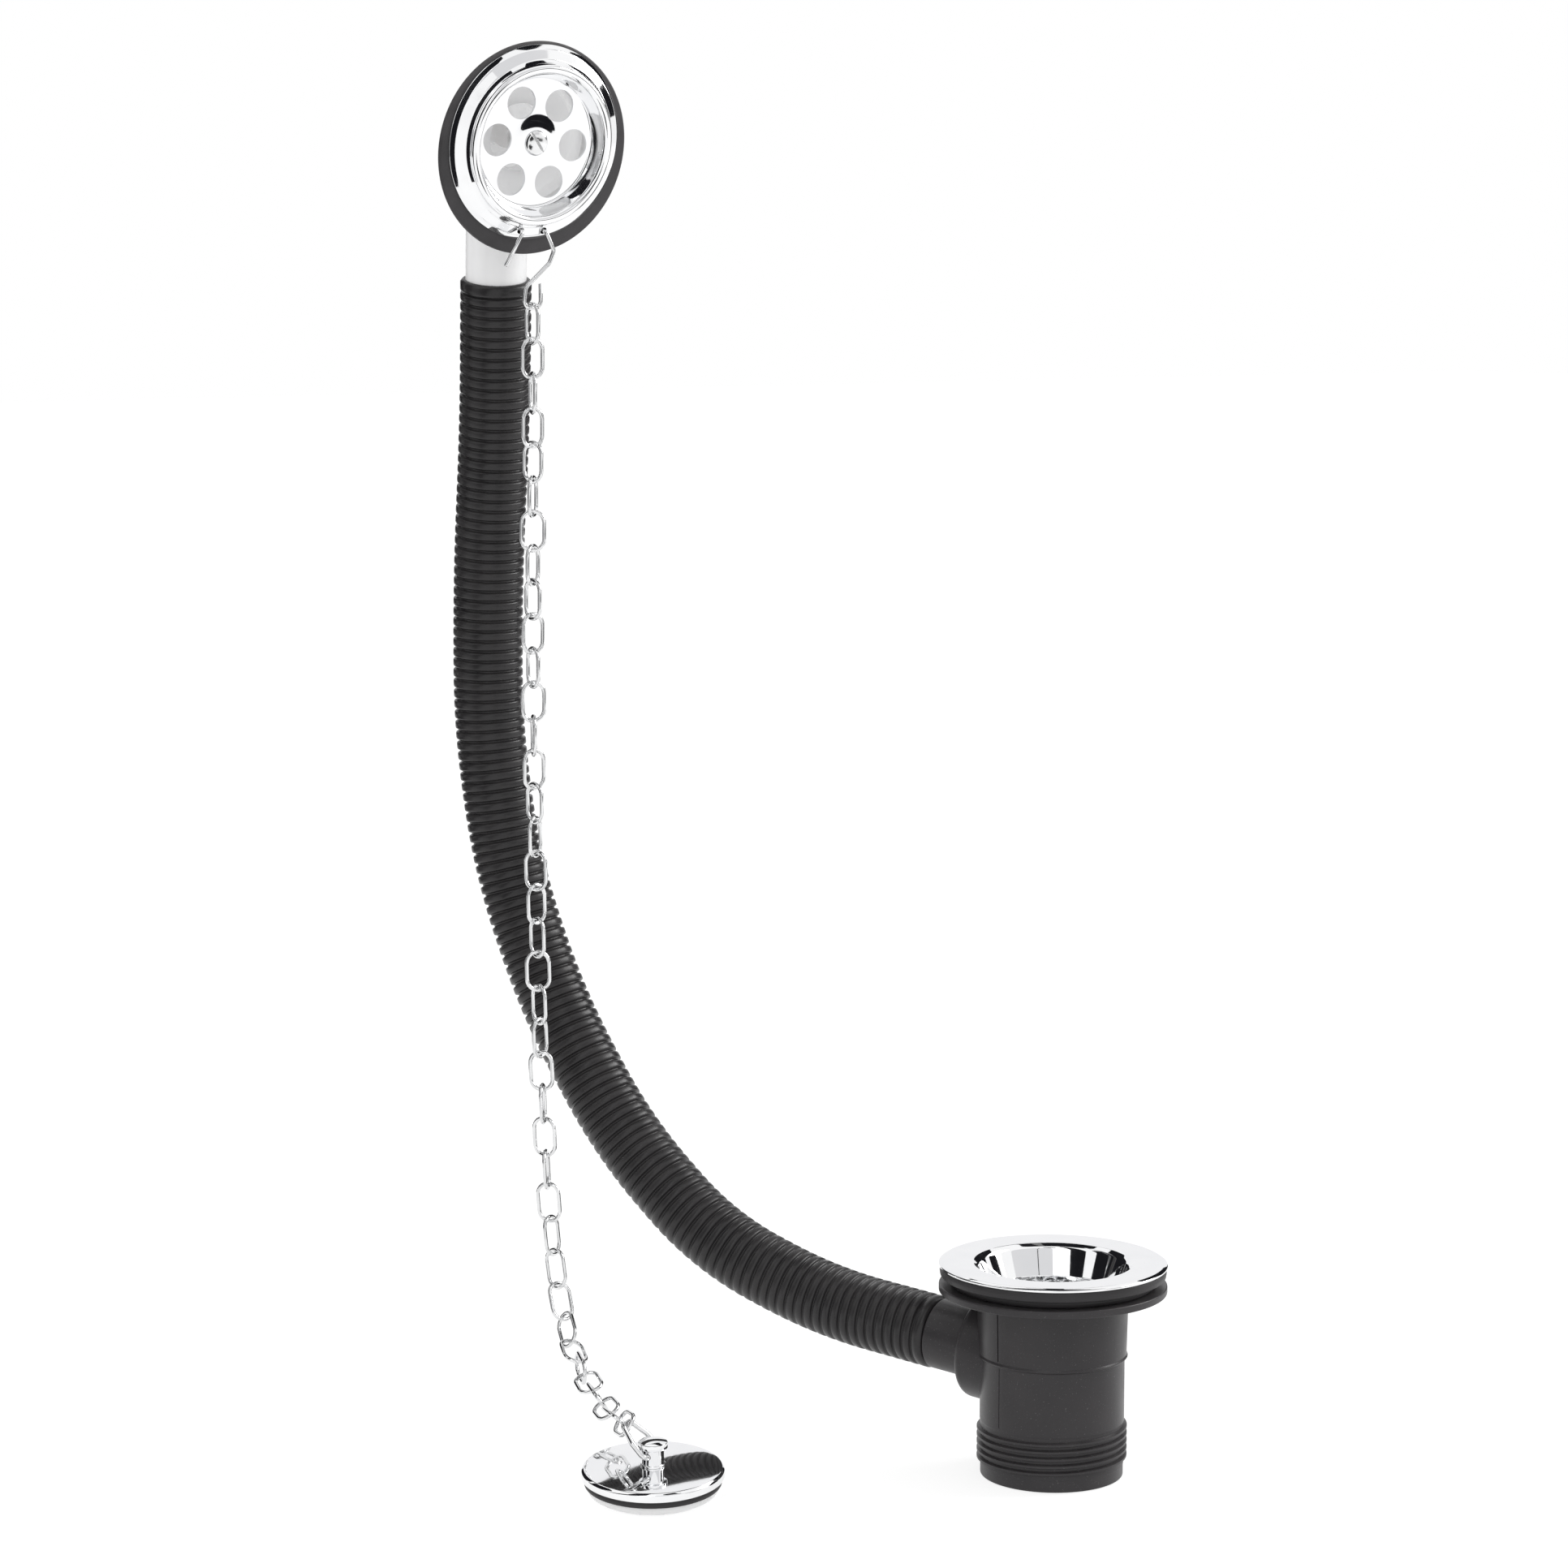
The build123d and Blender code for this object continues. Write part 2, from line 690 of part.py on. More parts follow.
# Shackle: closed wire loop through the post's cross hole
rise = math.radians(shackle_rise)
outward = plug.z_dir.cross(hole_direction)
reach_direction = outward * math.cos(rise) + plug.z_dir * math.sin(rise)
shackle = Plane(
    origin=hole_middle, x_dir=hole_direction, z_dir=hole_direction.cross(reach_direction)
)
with BuildPart() as plug_shackle:
    with BuildLine(shackle) as shackle_line:
        FilletPolyline(
            (shackle_half_width, 0),
            (shackle_half_width - 0.6, 0.5 * shackle_reach),
            (0.45 * shackle_half_width, shackle_reach),
            (-0.45 * shackle_half_width, shackle_reach),
            (-shackle_half_width + 0.6, 0.5 * shackle_reach),
            (-shackle_half_width, 0),
            close=True,
            radius=1.6,
        )
    with BuildSketch(across(shackle_line.wire(), 0, shackle.z_dir)):
        Circle(shackle_wire / 2)
    sweep(path=shackle_line.wire())
finish(plug_shackle, "plug_shackle")

# Chain: links along a hanging route. Each spans two joints of the route, and is turned as it hangs.
link_half = (link_inner_length + link_wire) / 2
link_bend = (link_width - link_wire) / 2
hook_bar = plate.from_local_coords(Vector(0.5, loop_foot, loop_out))
shackle_bar = hole_middle + reach_direction * shackle_reach
first_run = Vector(0, 0, -1)
last_run = Vector(-0.3, -0.94, 0.12).normalized()
overhang = link_half - (link_inner_length - link_slack) / 2  # of a link's end past its joint
first_bar = hook_bar - first_run * ((hook_wire + link_wire) / 2 + fit_gap)
bar_gap = (shackle_wire + link_wire) / 2 + 2 * fit_gap
last_bar = shackle_bar + (last_run - reach_direction).normalized() * bar_gap
chain_start = first_bar + first_run * overhang
chain_end = last_bar - last_run * overhang
chain_points = [
    chain_start,
    Vector(-99.0, 148.2, 260),
    Vector(-98.4, 148.0, 160),
    Vector(-96.6, 147.0, 90),
    Vector(-95.0, 144.2, 53),
    Vector(-96.6, 136.2, 35.5),
    Vector(-101.8, 121.5, 27.2),
    Vector(-109.0, 101.0, 23.0),
    Vector(-115.0, 82.0, 20.5),
    chain_end,
]
with BuildLine() as chain_route:
    Spline(*chain_points, tangents=[first_run, last_run])
chain_line = chain_route.wire()
link_count = math.ceil(chain_line.length / (link_inner_length - link_slack))
link_step = chain_line.length / link_count
print("chain", link_count, "links at", round(link_step, 2), "mm")
# Turn of each link about the chain, from facing the front, by hand
link_turns = [
    -56, 34, -74, 38, -38, 76, 0, 66, -50, 36, -60, 24, -80, 36, -48, 66, -26, 48, -52,
    14, -54, 60, -12, 84, -24, 84, -19, 59, -40, 32, -54, 18, -88, -16, 56, -34, 38, -58,
]
front_right = Vector(0.819, -0.574, 0)
link_corners = [(link_bend, 0)]
for end_side in (1, -1):
    for chord in range(link_end_chords + 1):
        angle = math.pi * chord / link_end_chords
        link_corners.append(
            (
                end_side * link_bend * math.cos(angle),
                end_side * (link_half - link_bend + link_bend * math.sin(angle)),
            )
        )
for number in range(link_count):
    upper_joint, lower_joint = [
        chain_line.position_at(step * link_step, position_mode=PositionMode.LENGTH)
        for step in (number, number + 1)
    ]
    along = (upper_joint - lower_joint).normalized()
    facing = front_right - along * front_right.dot(along)
    turn = math.radians(link_turns[number % len(link_turns)])
    sideways = facing.normalized() * math.cos(turn) + along.cross(facing.normalized()) * math.sin(turn)
    link = Plane(
        origin=(upper_joint + lower_joint) / 2, x_dir=sideways, z_dir=sideways.cross(along)
    )
    side_bar = Plane(
        origin=link.from_local_coords(Vector(link_bend, 0, 0)), x_dir=sideways, z_dir=along
    )
    with BuildPart() as chain_link:
        with BuildLine(link) as link_line:
            Polyline(*link_corners, close=True)
        with BuildSketch(side_bar):
            RegularPolygon(link_wire / 2, 6)
        sweep(path=link_line.wire(), transition=Transition.RIGHT)
    finish(chain_link, f"chain_link_{number + 1:02d}")
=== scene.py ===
# %% [markdown]
# This notebook dresses a bath waste and overflow. A corrugated hose climbs from the side of the
# waste to the chrome overflow plate, and a plug hangs from the plate on a chain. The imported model
# is loaded first, because it is the frame that every piece has to fit.

# %% Load the frame
import math

import bmesh
import bpy
import numpy as np
from mathutils import Matrix, Vector


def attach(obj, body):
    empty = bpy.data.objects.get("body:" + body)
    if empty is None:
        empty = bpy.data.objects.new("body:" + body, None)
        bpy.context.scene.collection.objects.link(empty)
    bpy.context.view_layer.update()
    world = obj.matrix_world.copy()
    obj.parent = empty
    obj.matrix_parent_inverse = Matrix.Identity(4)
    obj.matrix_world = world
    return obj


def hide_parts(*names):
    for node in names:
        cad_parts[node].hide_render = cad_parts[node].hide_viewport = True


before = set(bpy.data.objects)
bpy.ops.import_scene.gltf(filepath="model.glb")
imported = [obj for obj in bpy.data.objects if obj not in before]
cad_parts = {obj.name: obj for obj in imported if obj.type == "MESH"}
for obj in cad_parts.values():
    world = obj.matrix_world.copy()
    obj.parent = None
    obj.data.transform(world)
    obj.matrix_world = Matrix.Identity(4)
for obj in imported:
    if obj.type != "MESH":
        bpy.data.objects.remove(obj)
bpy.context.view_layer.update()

MM = 0.001
scene = bpy.context.scene
scene.view_settings.view_transform = "Standard"


def polar(radius, angle):
    return radius * math.cos(angle), radius * math.sin(angle)


# %% [markdown]
# The camera comes next, so that every later choice can be judged from where the photograph was
# taken: a long lens, a little above the waste.

# %% Camera
camera = bpy.data.objects.new("camera", bpy.data.cameras.new("camera"))
scene.collection.objects.link(camera)
camera.location = (-0.7846, -0.9729, 0.3817)
camera.rotation_euler = (math.radians(90 - 7.4), 0, math.radians(-35))
camera.data.lens = 93.17
camera.data.sensor_width = 36
camera.data.clip_end = 50
scene.camera = camera

# %% [markdown]
# Most of the pieces are turned round an axis. One helper takes the half section as points of
# radius and height, in millimetres. A third number on a point rounds that corner, because no real
# edge is perfectly sharp and the rounding is what catches the light.


# %% Rounded sections
def round_corners(points, steps=4, closed=False):
    """The section with each corner that has a third number replaced by an arc of that radius."""
    count = len(points)
    result = []
    for i, point in enumerate(points):
        corner = Vector(point[:2])
        radius = point[2] if len(point) > 2 else 0
        if radius == 0 or (not closed and i in (0, count - 1)):
            result.append(tuple(corner))
            continue
        back = Vector(points[i - 1][:2]) - corner
        ahead = Vector(points[(i + 1) % count][:2]) - corner
        half = back.angle(ahead) / 2
        reach = min(radius / math.tan(half), 0.49 * back.length, 0.49 * ahead.length)
        start, end = corner + back.normalized() * reach, corner + ahead.normalized() * reach
        for step in range(steps + 1):
            t = step / steps
            result.append(tuple(start * (1 - t) ** 2 + corner * 2 * t * (1 - t) + end * t ** 2))
    return result


# %% Mesh from points and faces
def mesh_object(name, points, faces):
    """An object in the scene with a mesh of these points, in metres, and faces."""
    mesh = bpy.data.meshes.new(name)
    mesh.from_pydata([tuple(p) for p in points], [], faces)
    made = bpy.data.objects.new(name, mesh)
    scene.collection.objects.link(made)
    return made


def smooth(piece, sharp=32):
    """Shades a piece smooth, but for edges that turn by more than the given degrees."""
    piece.data.shade_smooth()
    piece.data.set_sharp_from_angle(angle=math.radians(sharp))


def new_piece(node, points, faces, sharp=32, name=None):
    """A smooth piece that rides on the part. It stands for a CAD node, unless it has a name."""
    piece = mesh_object(name or node + "_dressed", points, faces)
    piece.data.validate()
    smooth(piece, sharp)
    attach(piece, "root")
    if node:
        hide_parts(node)
    return piece


def wrap(rows, sides, closed=False):
    """Faces between rows of points, each of them a ring of the given number of sides."""
    faces = []
    for row in range(rows if closed else rows - 1):
        low, high = row * sides, (row + 1) % rows * sides
        for k in range(sides):
            m = (k + 1) % sides
            faces.append([low + k, low + m, high + m, high + k])
    return faces


# %% [markdown]
# A place is an origin with an x and a z direction. The overflow and the plug both lean, so their
# places are worked out once here and used for everything on them.


# %% Places
def place(origin, x_dir, z_dir):
    """The matrix that takes millimetres on a piece's own axes to metres in the frame."""
    z = Vector(z_dir).normalized()
    x = (Vector(x_dir) - z * Vector(x_dir).dot(z)).normalized()
    turn = Matrix((x, z.cross(x), z)).transposed().to_4x4()
    return Matrix.Translation(Vector(origin) * MM) @ turn @ Matrix.Scale(MM, 4)


def on(where, x, y, z):
    """A point on a place's own axes, in millimetres of the frame."""
    return where @ Vector((x, y, z)) / MM


up = Vector((0, 0, 1))
upright = place((0, 0, 0), (1, 0, 0), up)

plate_lean = math.radians(12)
plate_centre = Vector((-99.3, 144.8, 418.0))
plate_normal = Vector((0, -math.cos(plate_lean), -math.sin(plate_lean)))
plate = place(plate_centre, (1, 0, 0), plate_normal)

branch_height = 35.3
branch_direction = Vector((-0.36, 0.93, 0.09)).normalized()
branch = place((0, 0, branch_height), up.cross(branch_direction), branch_direction)

plug_tilt = math.radians(5)
base_radius, base_round = 20.6, 3.3
towards_front = Vector((-0.574, -0.819, 0))
upwards, forwards = polar(1, plug_tilt)
plug_rise = (base_radius - base_round) * forwards + base_round * (1 - upwards)
plug_normal = towards_front * forwards + Vector((0, 0, upwards))
plug = place((-118.6, 48.9, plug_rise), up.cross(towards_front), plug_normal)
print("plug stands", round(plug_rise, 2), "mm up")


# %% Turned pieces
def turn_section(section, where, sides=128, closed=True, swell=None):
    """Points and faces of a section turned round a place's z axis. Radius 0 closes to a point."""
    points, rings, faces = [], [], []
    for radius, height in section:
        if radius < 1e-6:
            points.append(where @ Vector((0, 0, height)))
            rings.append([len(points) - 1] * sides)
            continue
        ring = []
        for i in range(sides):
            angle = math.tau * i / sides
            r = radius + (swell(radius, angle) if swell else 0)
            points.append(where @ Vector((*polar(r, angle), height)))
            ring.append(len(points) - 1)
        rings.append(ring)
    for low, high in zip(rings, rings[1:] + rings[:1] if closed else rings[1:]):
        for i in range(sides):
            j = (i + 1) % sides
            corners = list(dict.fromkeys((low[i], low[j], high[j], high[i])))
            if len(corners) > 2:
                faces.append(corners)
    return points, faces


def turn_faces_out(piece):
    """Makes every face of a closed shell look outwards."""
    shell = bmesh.new()
    shell.from_mesh(piece.data)
    bmesh.ops.recalc_face_normals(shell, faces=shell.faces)
    shell.to_mesh(piece.data)
    shell.free()


def turned(node, section, where, sides=128, closed=True, swell=None, steps=4, sharp=32):
    rounded = round_corners(section, steps, closed)
    piece = new_piece(node, *turn_section(rounded, where, sides, closed, swell), sharp)
    turn_faces_out(piece)
    return piece


# %% [markdown]
# Holes and slots are cut with the Boolean modifier. The cutter is made for the cut and deleted
# after it, and the cut is applied at once, so that only finished meshes stay in the file.


# %% Cutting and joining
def bar(where, x, y, low, high, radius=None, size=None, turn=0, sides=48):
    """A cutter along a place's z axis: round with a radius, or square with a width and a depth."""
    if radius:
        ring = [polar(radius, math.tau * i / sides) for i in range(sides)]
        outline = [(x + a, y + b) for a, b in ring]
    else:
        c, s = polar(1, turn)
        corners = ((-1, -1), (1, -1), (1, 1), (-1, 1))
        halves = [(a * size[0] / 2, b * size[1] / 2) for a, b in corners]
        outline = [(x + c * a - s * b, y + s * a + c * b) for a, b in halves]
    n = len(outline)
    points = [where @ Vector((a, b, h)) for h in (low, high) for a, b in outline]
    caps = [list(range(n))[::-1], list(range(n, 2 * n))]
    return mesh_object("cutter", points, caps + wrap(2, n))


def hole_circle(where, count, circle, radius, low, high, first=0.0):
    """Round cutters, evenly spread on a circle round a place's z axis."""
    return [
        bar(where, *polar(circle, math.tau * hole / count + first), low, high, radius)
        for hole in range(count)
    ]


def loose_turned(section, where, sides=96, steps=4):
    """A closed turned solid that only serves to cut or to be joined."""
    rounded = round_corners(section, steps)
    return mesh_object("solid", *turn_section(rounded, where, sides, closed=False))


def combine(piece, others, operation="DIFFERENCE"):
    """Cuts the others out of the piece, or joins them to it, and deletes them."""
    for other in others:
        turn_faces_out(other)
        step = piece.modifiers.new("combine", "BOOLEAN")
        step.operation, step.object, step.solver = operation, other, "EXACT"
    graph = bpy.context.evaluated_depsgraph_get()
    result = bpy.data.meshes.new_from_object(piece.evaluated_get(graph))
    piece.modifiers.clear()
    old, piece.data = piece.data, result
    bpy.data.meshes.remove(old)
    for other in others:
        bpy.data.meshes.remove(other.data)
    smooth(piece)
    return piece


# %% [markdown]
# Wires and tubes follow a route. Its corners are rounded by arcs that touch both runs, and a ring
# of points is carried along it without twisting. The hook, the shackle and the links are tubes,
# and the hose follows a route of the same kind.


# %% Routes and tubes
def arc_route(corners, radii, spacing, closed=False):
    """Points along straight runs joined by arcs, about the given spacing apart, in millimetres."""
    corners = [Vector(c) for c in corners]
    count = len(corners)
    turns = range(count) if closed else range(1, count - 1)
    line = [] if closed else [corners[0]]
    for i, radius in zip(turns, radii):
        corner, before, after = corners[i], corners[i - 1], corners[(i + 1) % count]
        back, ahead = (before - corner).normalized(), (after - corner).normalized()
        half = back.angle(ahead) / 2
        reach = radius / math.tan(half)
        centre = corner + (back + ahead).normalized() * (radius / math.sin(half))
        start, end = corner + back * reach - centre, corner + ahead * reach - centre
        sweep = start.angle(end)
        steps = max(4, round(sweep * radius / spacing))
        for step in range(steps + 1):
            t = step / steps
            a = math.sin((1 - t) * sweep) / math.sin(sweep)
            b = math.sin(t * sweep) / math.sin(sweep)
            line.append(centre + start * a + end * b)
    if not closed:
        line.append(corners[-1])
    return line


def resample(line, distances, reach=0.4):
    """Points and directions at the given distances along a line of points."""
    points = np.array([tuple(p) for p in line])
    steps = np.linalg.norm(np.diff(points, axis=0), axis=1)
    along = np.concatenate([[0], np.cumsum(steps)])
    distances = np.array(distances)
    at, ahead, behind = [
        np.stack([np.interp(distances + shift, along, points[:, k]) for k in range(3)], 1)
        for shift in (0, reach, -reach)
    ]
    direction = ahead - behind
    return at, direction / np.linalg.norm(direction, axis=1)[:, None]


def route_length(line):
    return sum((b - a).length for a, b in zip(line, line[1:]))


def tube(line, radius, sides=14, closed=False, bevel=0.25):
    """Points and faces, in metres, of a round wire along a line of points in millimetres."""
    line = [Vector(p) for p in line]
    clean = [line[0]]
    for point in line[1:]:
        if (point - clean[-1]).length > 1e-3:
            clean.append(point)
    if closed and (clean[0] - clean[-1]).length < 1e-3:
        clean.pop()
    count = len(clean)
    after = clean[1:] + [clean[0 if closed else -1]]
    before = [clean[-1 if closed else 0]] + clean[:-1]
    directions = [(ahead - behind).normalized() for ahead, behind in zip(after, before)]
    side = directions[0].orthogonal().normalized()
    sides_along = []
    for direction in directions:
        side = (side - direction * side.dot(direction)).normalized()
        sides_along.append(side)
    drift = 0
    if closed:
        last = sides_along[-1] - directions[0] * sides_along[-1].dot(directions[0])
        drift = last.normalized().angle(sides_along[0])
        if last.cross(sides_along[0]).dot(directions[0]) < 0:
            drift = -drift
    rings = []
    for i, (point, direction, side) in enumerate(zip(clean, directions, sides_along)):
        turn = Matrix.Rotation(drift * i / count, 3, direction)
        rings.append((point, turn @ side, direction, radius))
    if not closed:
        tips = []
        for end, sign in ((0, 1), (-1, -1)):
            point, side, way, _ = rings[end]
            rings[end] = (point + way * sign * radius * bevel, side, way, radius)
            tips.append((point, side, way, radius * (1 - bevel)))
        rings = tips[:1] + rings + tips[1:]
    points = []
    for point, side, direction, r in rings:
        other = direction.cross(side)
        for k in range(sides):
            angle = math.tau * k / sides
            points.append((point + (side * math.cos(angle) + other * math.sin(angle)) * r) * MM)
    faces = wrap(len(rings), sides, closed)
    if not closed:
        faces.append(list(range(sides))[::-1])
        faces.append([(len(rings) - 1) * sides + k for k in range(sides)])
    return points, faces


# %% [markdown]
# The chrome flange of the waste is one turned and pressed piece: a flat ring that sits on the
# bath, a cone that the plug drops into, a cup, and a floor with a grid of holes. Its section is a
# closed loop round the sheet, so it has its real thickness seen from below too.

# %% Waste flange
cup_floor, cup_foot, cone_foot = 50.0, 49.0, 58.5
flange_radius, flange_under = 36.05, 67.3
flange_section = [
    (0.001, cup_foot), (0.001, cup_floor), (20.0, cup_floor, 0.7), (20.0, cone_foot, 1.6),
    (23.7, 67.0, 2.4), (25.2, 68.12, 0.8), (34.9, 68.47, 0.5), (flange_radius, 68.0, 0.5),
    (flange_radius, flange_under, 0.2), (24.9, flange_under, 0.3), (21.0, cone_foot, 1.4),
    (21.0, cup_foot, 0.5),
]
waste_flange = turned("waste_flange", flange_section, upright, 160, steps=6)
below, above = cup_foot - 1, cup_floor + 1
grid_cutters = [bar(upright, 0, 0, below, above, radius=3.2)]
grid_cutters += hole_circle(upright, 6, 12.4, 4.2, below, above)
combine(waste_flange, grid_cutters)
print("waste flange", len(waste_flange.data.polygons), "faces")

# %% [markdown]
# The screw pulls the flange down to a brass insert in the body. The slot is cut as a Boolean, the
# head is a low dome.


# %% Screws and inserts
def screw(node, where, seat, head, height, shank, length, slot_turn):
    """A domed screw with a ridged shank, seated at a height, with the radii of head and shank."""
    section = [
        (0, seat + height), (head * 0.55, seat + height * 0.93),
        (head * 0.88, seat + height * 0.62, 0.6), (head, seat + height * 0.25, 0.3),
        (head, seat, 0.15), (shank, seat, 0.1),
    ]
    drop = 1.5
    while drop < length - 1.0:
        section += [(shank, seat - drop), (shank * 0.86, seat - drop - 0.4)]
        drop += 0.8
    section += [(shank * 0.7, seat - length, 0.2), (0, seat - length)]
    slot_width, slot_depth, top = 0.95, 1.35, seat + height
    size = (2.4 * head, slot_width)
    slot = bar(where, 0, 0, top - slot_depth, top + 1, size=size, turn=slot_turn)
    return combine(turned(node, section, where, 64, closed=False), [slot])


plate_crown = 1.5
slot_turn = math.radians(-52)
waste_screw = screw("waste_screw", upright, cup_floor, 5.2, 2.6, 2.9, 22.0, 0)
overflow_screw = screw("overflow_screw", plate, plate_crown, 4.1, 1.6, 2.4, 16.0, slot_turn)


def insert(node, where, low, high, outer, inner, knurls=32):
    """A brass sleeve between two heights, knurled on the outside."""
    section = [(inner, low, 0.2), (outer, low, 0.3), (outer, high, 0.3), (inner, high, 0.2)]

    def knurl(radius, angle):
        return -0.12 if radius > outer - 0.35 and int(angle * knurls / math.tau) % 2 else 0

    return turned(node, section, where, 64, swell=knurl)


insert_foot, boss_top = 27.0, 40.0
insert_back, insert_front = -18.6, -8.6
waste_insert = insert("waste_insert", upright, insert_foot, boss_top, 4.4, 3.0)
overflow_insert = insert("overflow_insert", plate, insert_back, insert_front, 3.4, 2.5)
print("screws", waste_screw.name, overflow_screw.name)

# %% [markdown]
# Three soft washers seal the bath. The upper one shows as a black rim under the chrome, the lower
# one as a recessed band, and the one behind the overflow plate as a broad black ring. Their
# rounded rims swell slightly at the middle, as moulded rubber does.


# %% Rubber seals
def washer(node, low, high, outer, bulge):
    """A seal of the waste between two heights, with a rim that swells halfway up."""
    inner, middle = 25.6, (low + high) / 2
    section = [
        (inner, low, 0.4), (outer - bulge, low, 0.9), (outer, middle, 1.2),
        (outer - bulge, high, 0.9), (inner, high, 0.4),
    ]
    return turned(node, section, upright, 144, steps=5)


seal_joint, body_top = 63.9, 61.4
upper_seal = washer("upper_seal", seal_joint, flange_under, 35.7, 0.25)
lower_seal = washer("lower_seal", body_top, seal_joint, 32.4, 0.15)
seal_place = place(on(plate, 0.5, -2.2, 0), (1, 0, 0), plate_normal)
broad_section = [
    (26.1, -2.6, 0.3), (33.95, -2.6, 0.8), (34.2, -1.3, 0.9), (33.95, 0, 0.7), (26.1, 0, 0.3),
]
overflow_seal = turned("overflow_seal", broad_section, seal_place, 160, steps=6)
print("seals", upper_seal.name, lower_seal.name, overflow_seal.name)

# %% [markdown]
# The waste's body is one charcoal moulding. It is turned solid first. The rounded chamber for the
# overflow's water and its spigot are joined to it, and then the bores are cut out, with the boss
# on its ribs left inside. A parting line runs down the front where the halves of the mould met, so
# two fine grooves are cut there: a deeper one down the neck and a faint one down the barrel.

# %% Waste body
thread_foot, thread_pitch, thread_turns = 3.8, 2.31, 6
outlet_radius, thread_root = 22.55, 22.65
barrel_radius, neck_radius, bead_radius = 22.8, 23.4, 23.85
outlet_bore, lower_bore, upper_bore = 20.6, 20.0, 21.3
spigot_radius, spigot_bore = 10.0, 8.3
body_section = [
    (0, 0), (outlet_radius, 0, 0.5), (outlet_radius, thread_foot, 0.1), (thread_root, 3.9),
    (thread_root, 17.2, 0.3), (barrel_radius, 17.8, 0.3), (barrel_radius, 37.9, 0.3),
    (neck_radius, 38.3, 0.35), (bead_radius, 38.7, 0.3), (neck_radius, 39.45, 0.4),
    (bead_radius, 59.0, 0.8), (35.95, 59.0, 0.5), (35.95, body_top, 0.5), (0, body_top),
]
waste_body = turned("waste_body", body_section, upright, 192, closed=False)
chamber_section = [
    (0, 2), (16.8, 2), (16.8, 27.0, 8.5), (11.4, 27.0, 1.5), (11.4, 41.7, 0.6),
    (spigot_radius, 41.7), (spigot_radius, 58.0, 0.5), (0, 58.0),
]
combine(waste_body, [loose_turned(chamber_section, branch, steps=8)], "UNION")
bore_section = [
    (0, -1), (outlet_bore, -1), (outlet_bore, 20.0, 0.4), (lower_bore, 20.0),
    (lower_bore, 46.6, 0.3), (upper_bore, 46.6), (upper_bore, 58.5), (25.0, 66.0), (0, 66.0),
]
side_bore_section = [
    (0, 10), (14.2, 10), (14.2, 24.4, 5), (spigot_bore, 24.4, 1.0), (spigot_bore, 60), (0, 60),
]
bore = loose_turned(bore_section, upright, 128)
combine(waste_body, [bore, loose_turned(side_bore_section, branch, 72)])

boss_foot = 23.0
boss_section = [(0, boss_foot), (6.8, boss_foot, 0.4), (6.8, boss_top, 0.4), (0, boss_top)]
boss = [loose_turned(boss_section, upright, 64)]
rib_count, rib_top, rib_middle, rib_size = 3, 36, 10.25, (20.4, 2.4)
for rib in range(rib_count):
    turn = math.atan2(branch_direction.y, branch_direction.x) + (rib + 0.5) * math.tau / rib_count
    x, y = polar(rib_middle, turn)
    boss.append(bar(upright, x, y, boss_foot, rib_top, size=rib_size, turn=turn))
combine(waste_body, boss, "UNION")
combine(waste_body, [bar(upright, 0, 0, insert_foot, boss_top + 1, radius=4.5)])

parting_turn, groove_width, cutter_depth = math.radians(185), 0.45, 2
grooves = []
for low, high, radius, depth in (
    (39.8, 58.8, neck_radius, 0.45), (18.5, 37.7, barrel_radius, 0.12)
):
    x, y = polar(radius + cutter_depth / 2 - depth, parting_turn)
    size = (cutter_depth, groove_width)
    grooves.append(bar(upright, x, y, low, high, size=size, turn=parting_turn))
combine(waste_body, grooves)
print("waste body", len(waste_body.data.polygons), "faces")

# %% [markdown]
# The outlet's thread is a real helix here. Its ridge has a rounded crest and fades into the body
# at both ends, as a moulded thread does.

# %% Outlet thread
ridge = [(-0.90, -0.2), (-0.52, 0.55), (-0.36, 1.05), (0.36, 1.05), (0.52, 0.55), (0.90, -0.2)]
steps_per_turn, fade_steps, first_angle = 96, 14, 0.6
helix_steps = int(steps_per_turn * (thread_turns - 0.85))
thread_points = []
for step in range(helix_steps + 1):
    angle = math.tau * step / steps_per_turn + first_angle
    rise = thread_foot + thread_pitch * (0.44 + step / steps_per_turn)
    fade = min(1, step / fade_steps, (helix_steps - step) / fade_steps)
    for along, out in ridge:
        r = thread_root + (out if out < 0 else out * fade)
        height = rise + along * (0.5 + 0.5 * fade)
        thread_points.append(upright @ Vector((*polar(r, angle), height)))
width = len(ridge)
thread_faces = wrap(helix_steps + 1, width)
thread_faces.append(list(range(width)))
thread_faces.append([helix_steps * width + k for k in range(width)][::-1])
outlet_thread = new_piece(None, thread_points, thread_faces, 50, "outlet_thread")
turn_faces_out(outlet_thread)
print("thread", round(helix_steps / steps_per_turn, 2), "turns")

# %% [markdown]
# The hose is a blow moulded tube with flat crests and narrow grooves. Its route is the CAD hose's
# own: straight runs joined by wide arcs. The pitch of the profile is worked out so that whole
# crests fit between the plain cuffs. The mould left a low seam along each side of the hose.

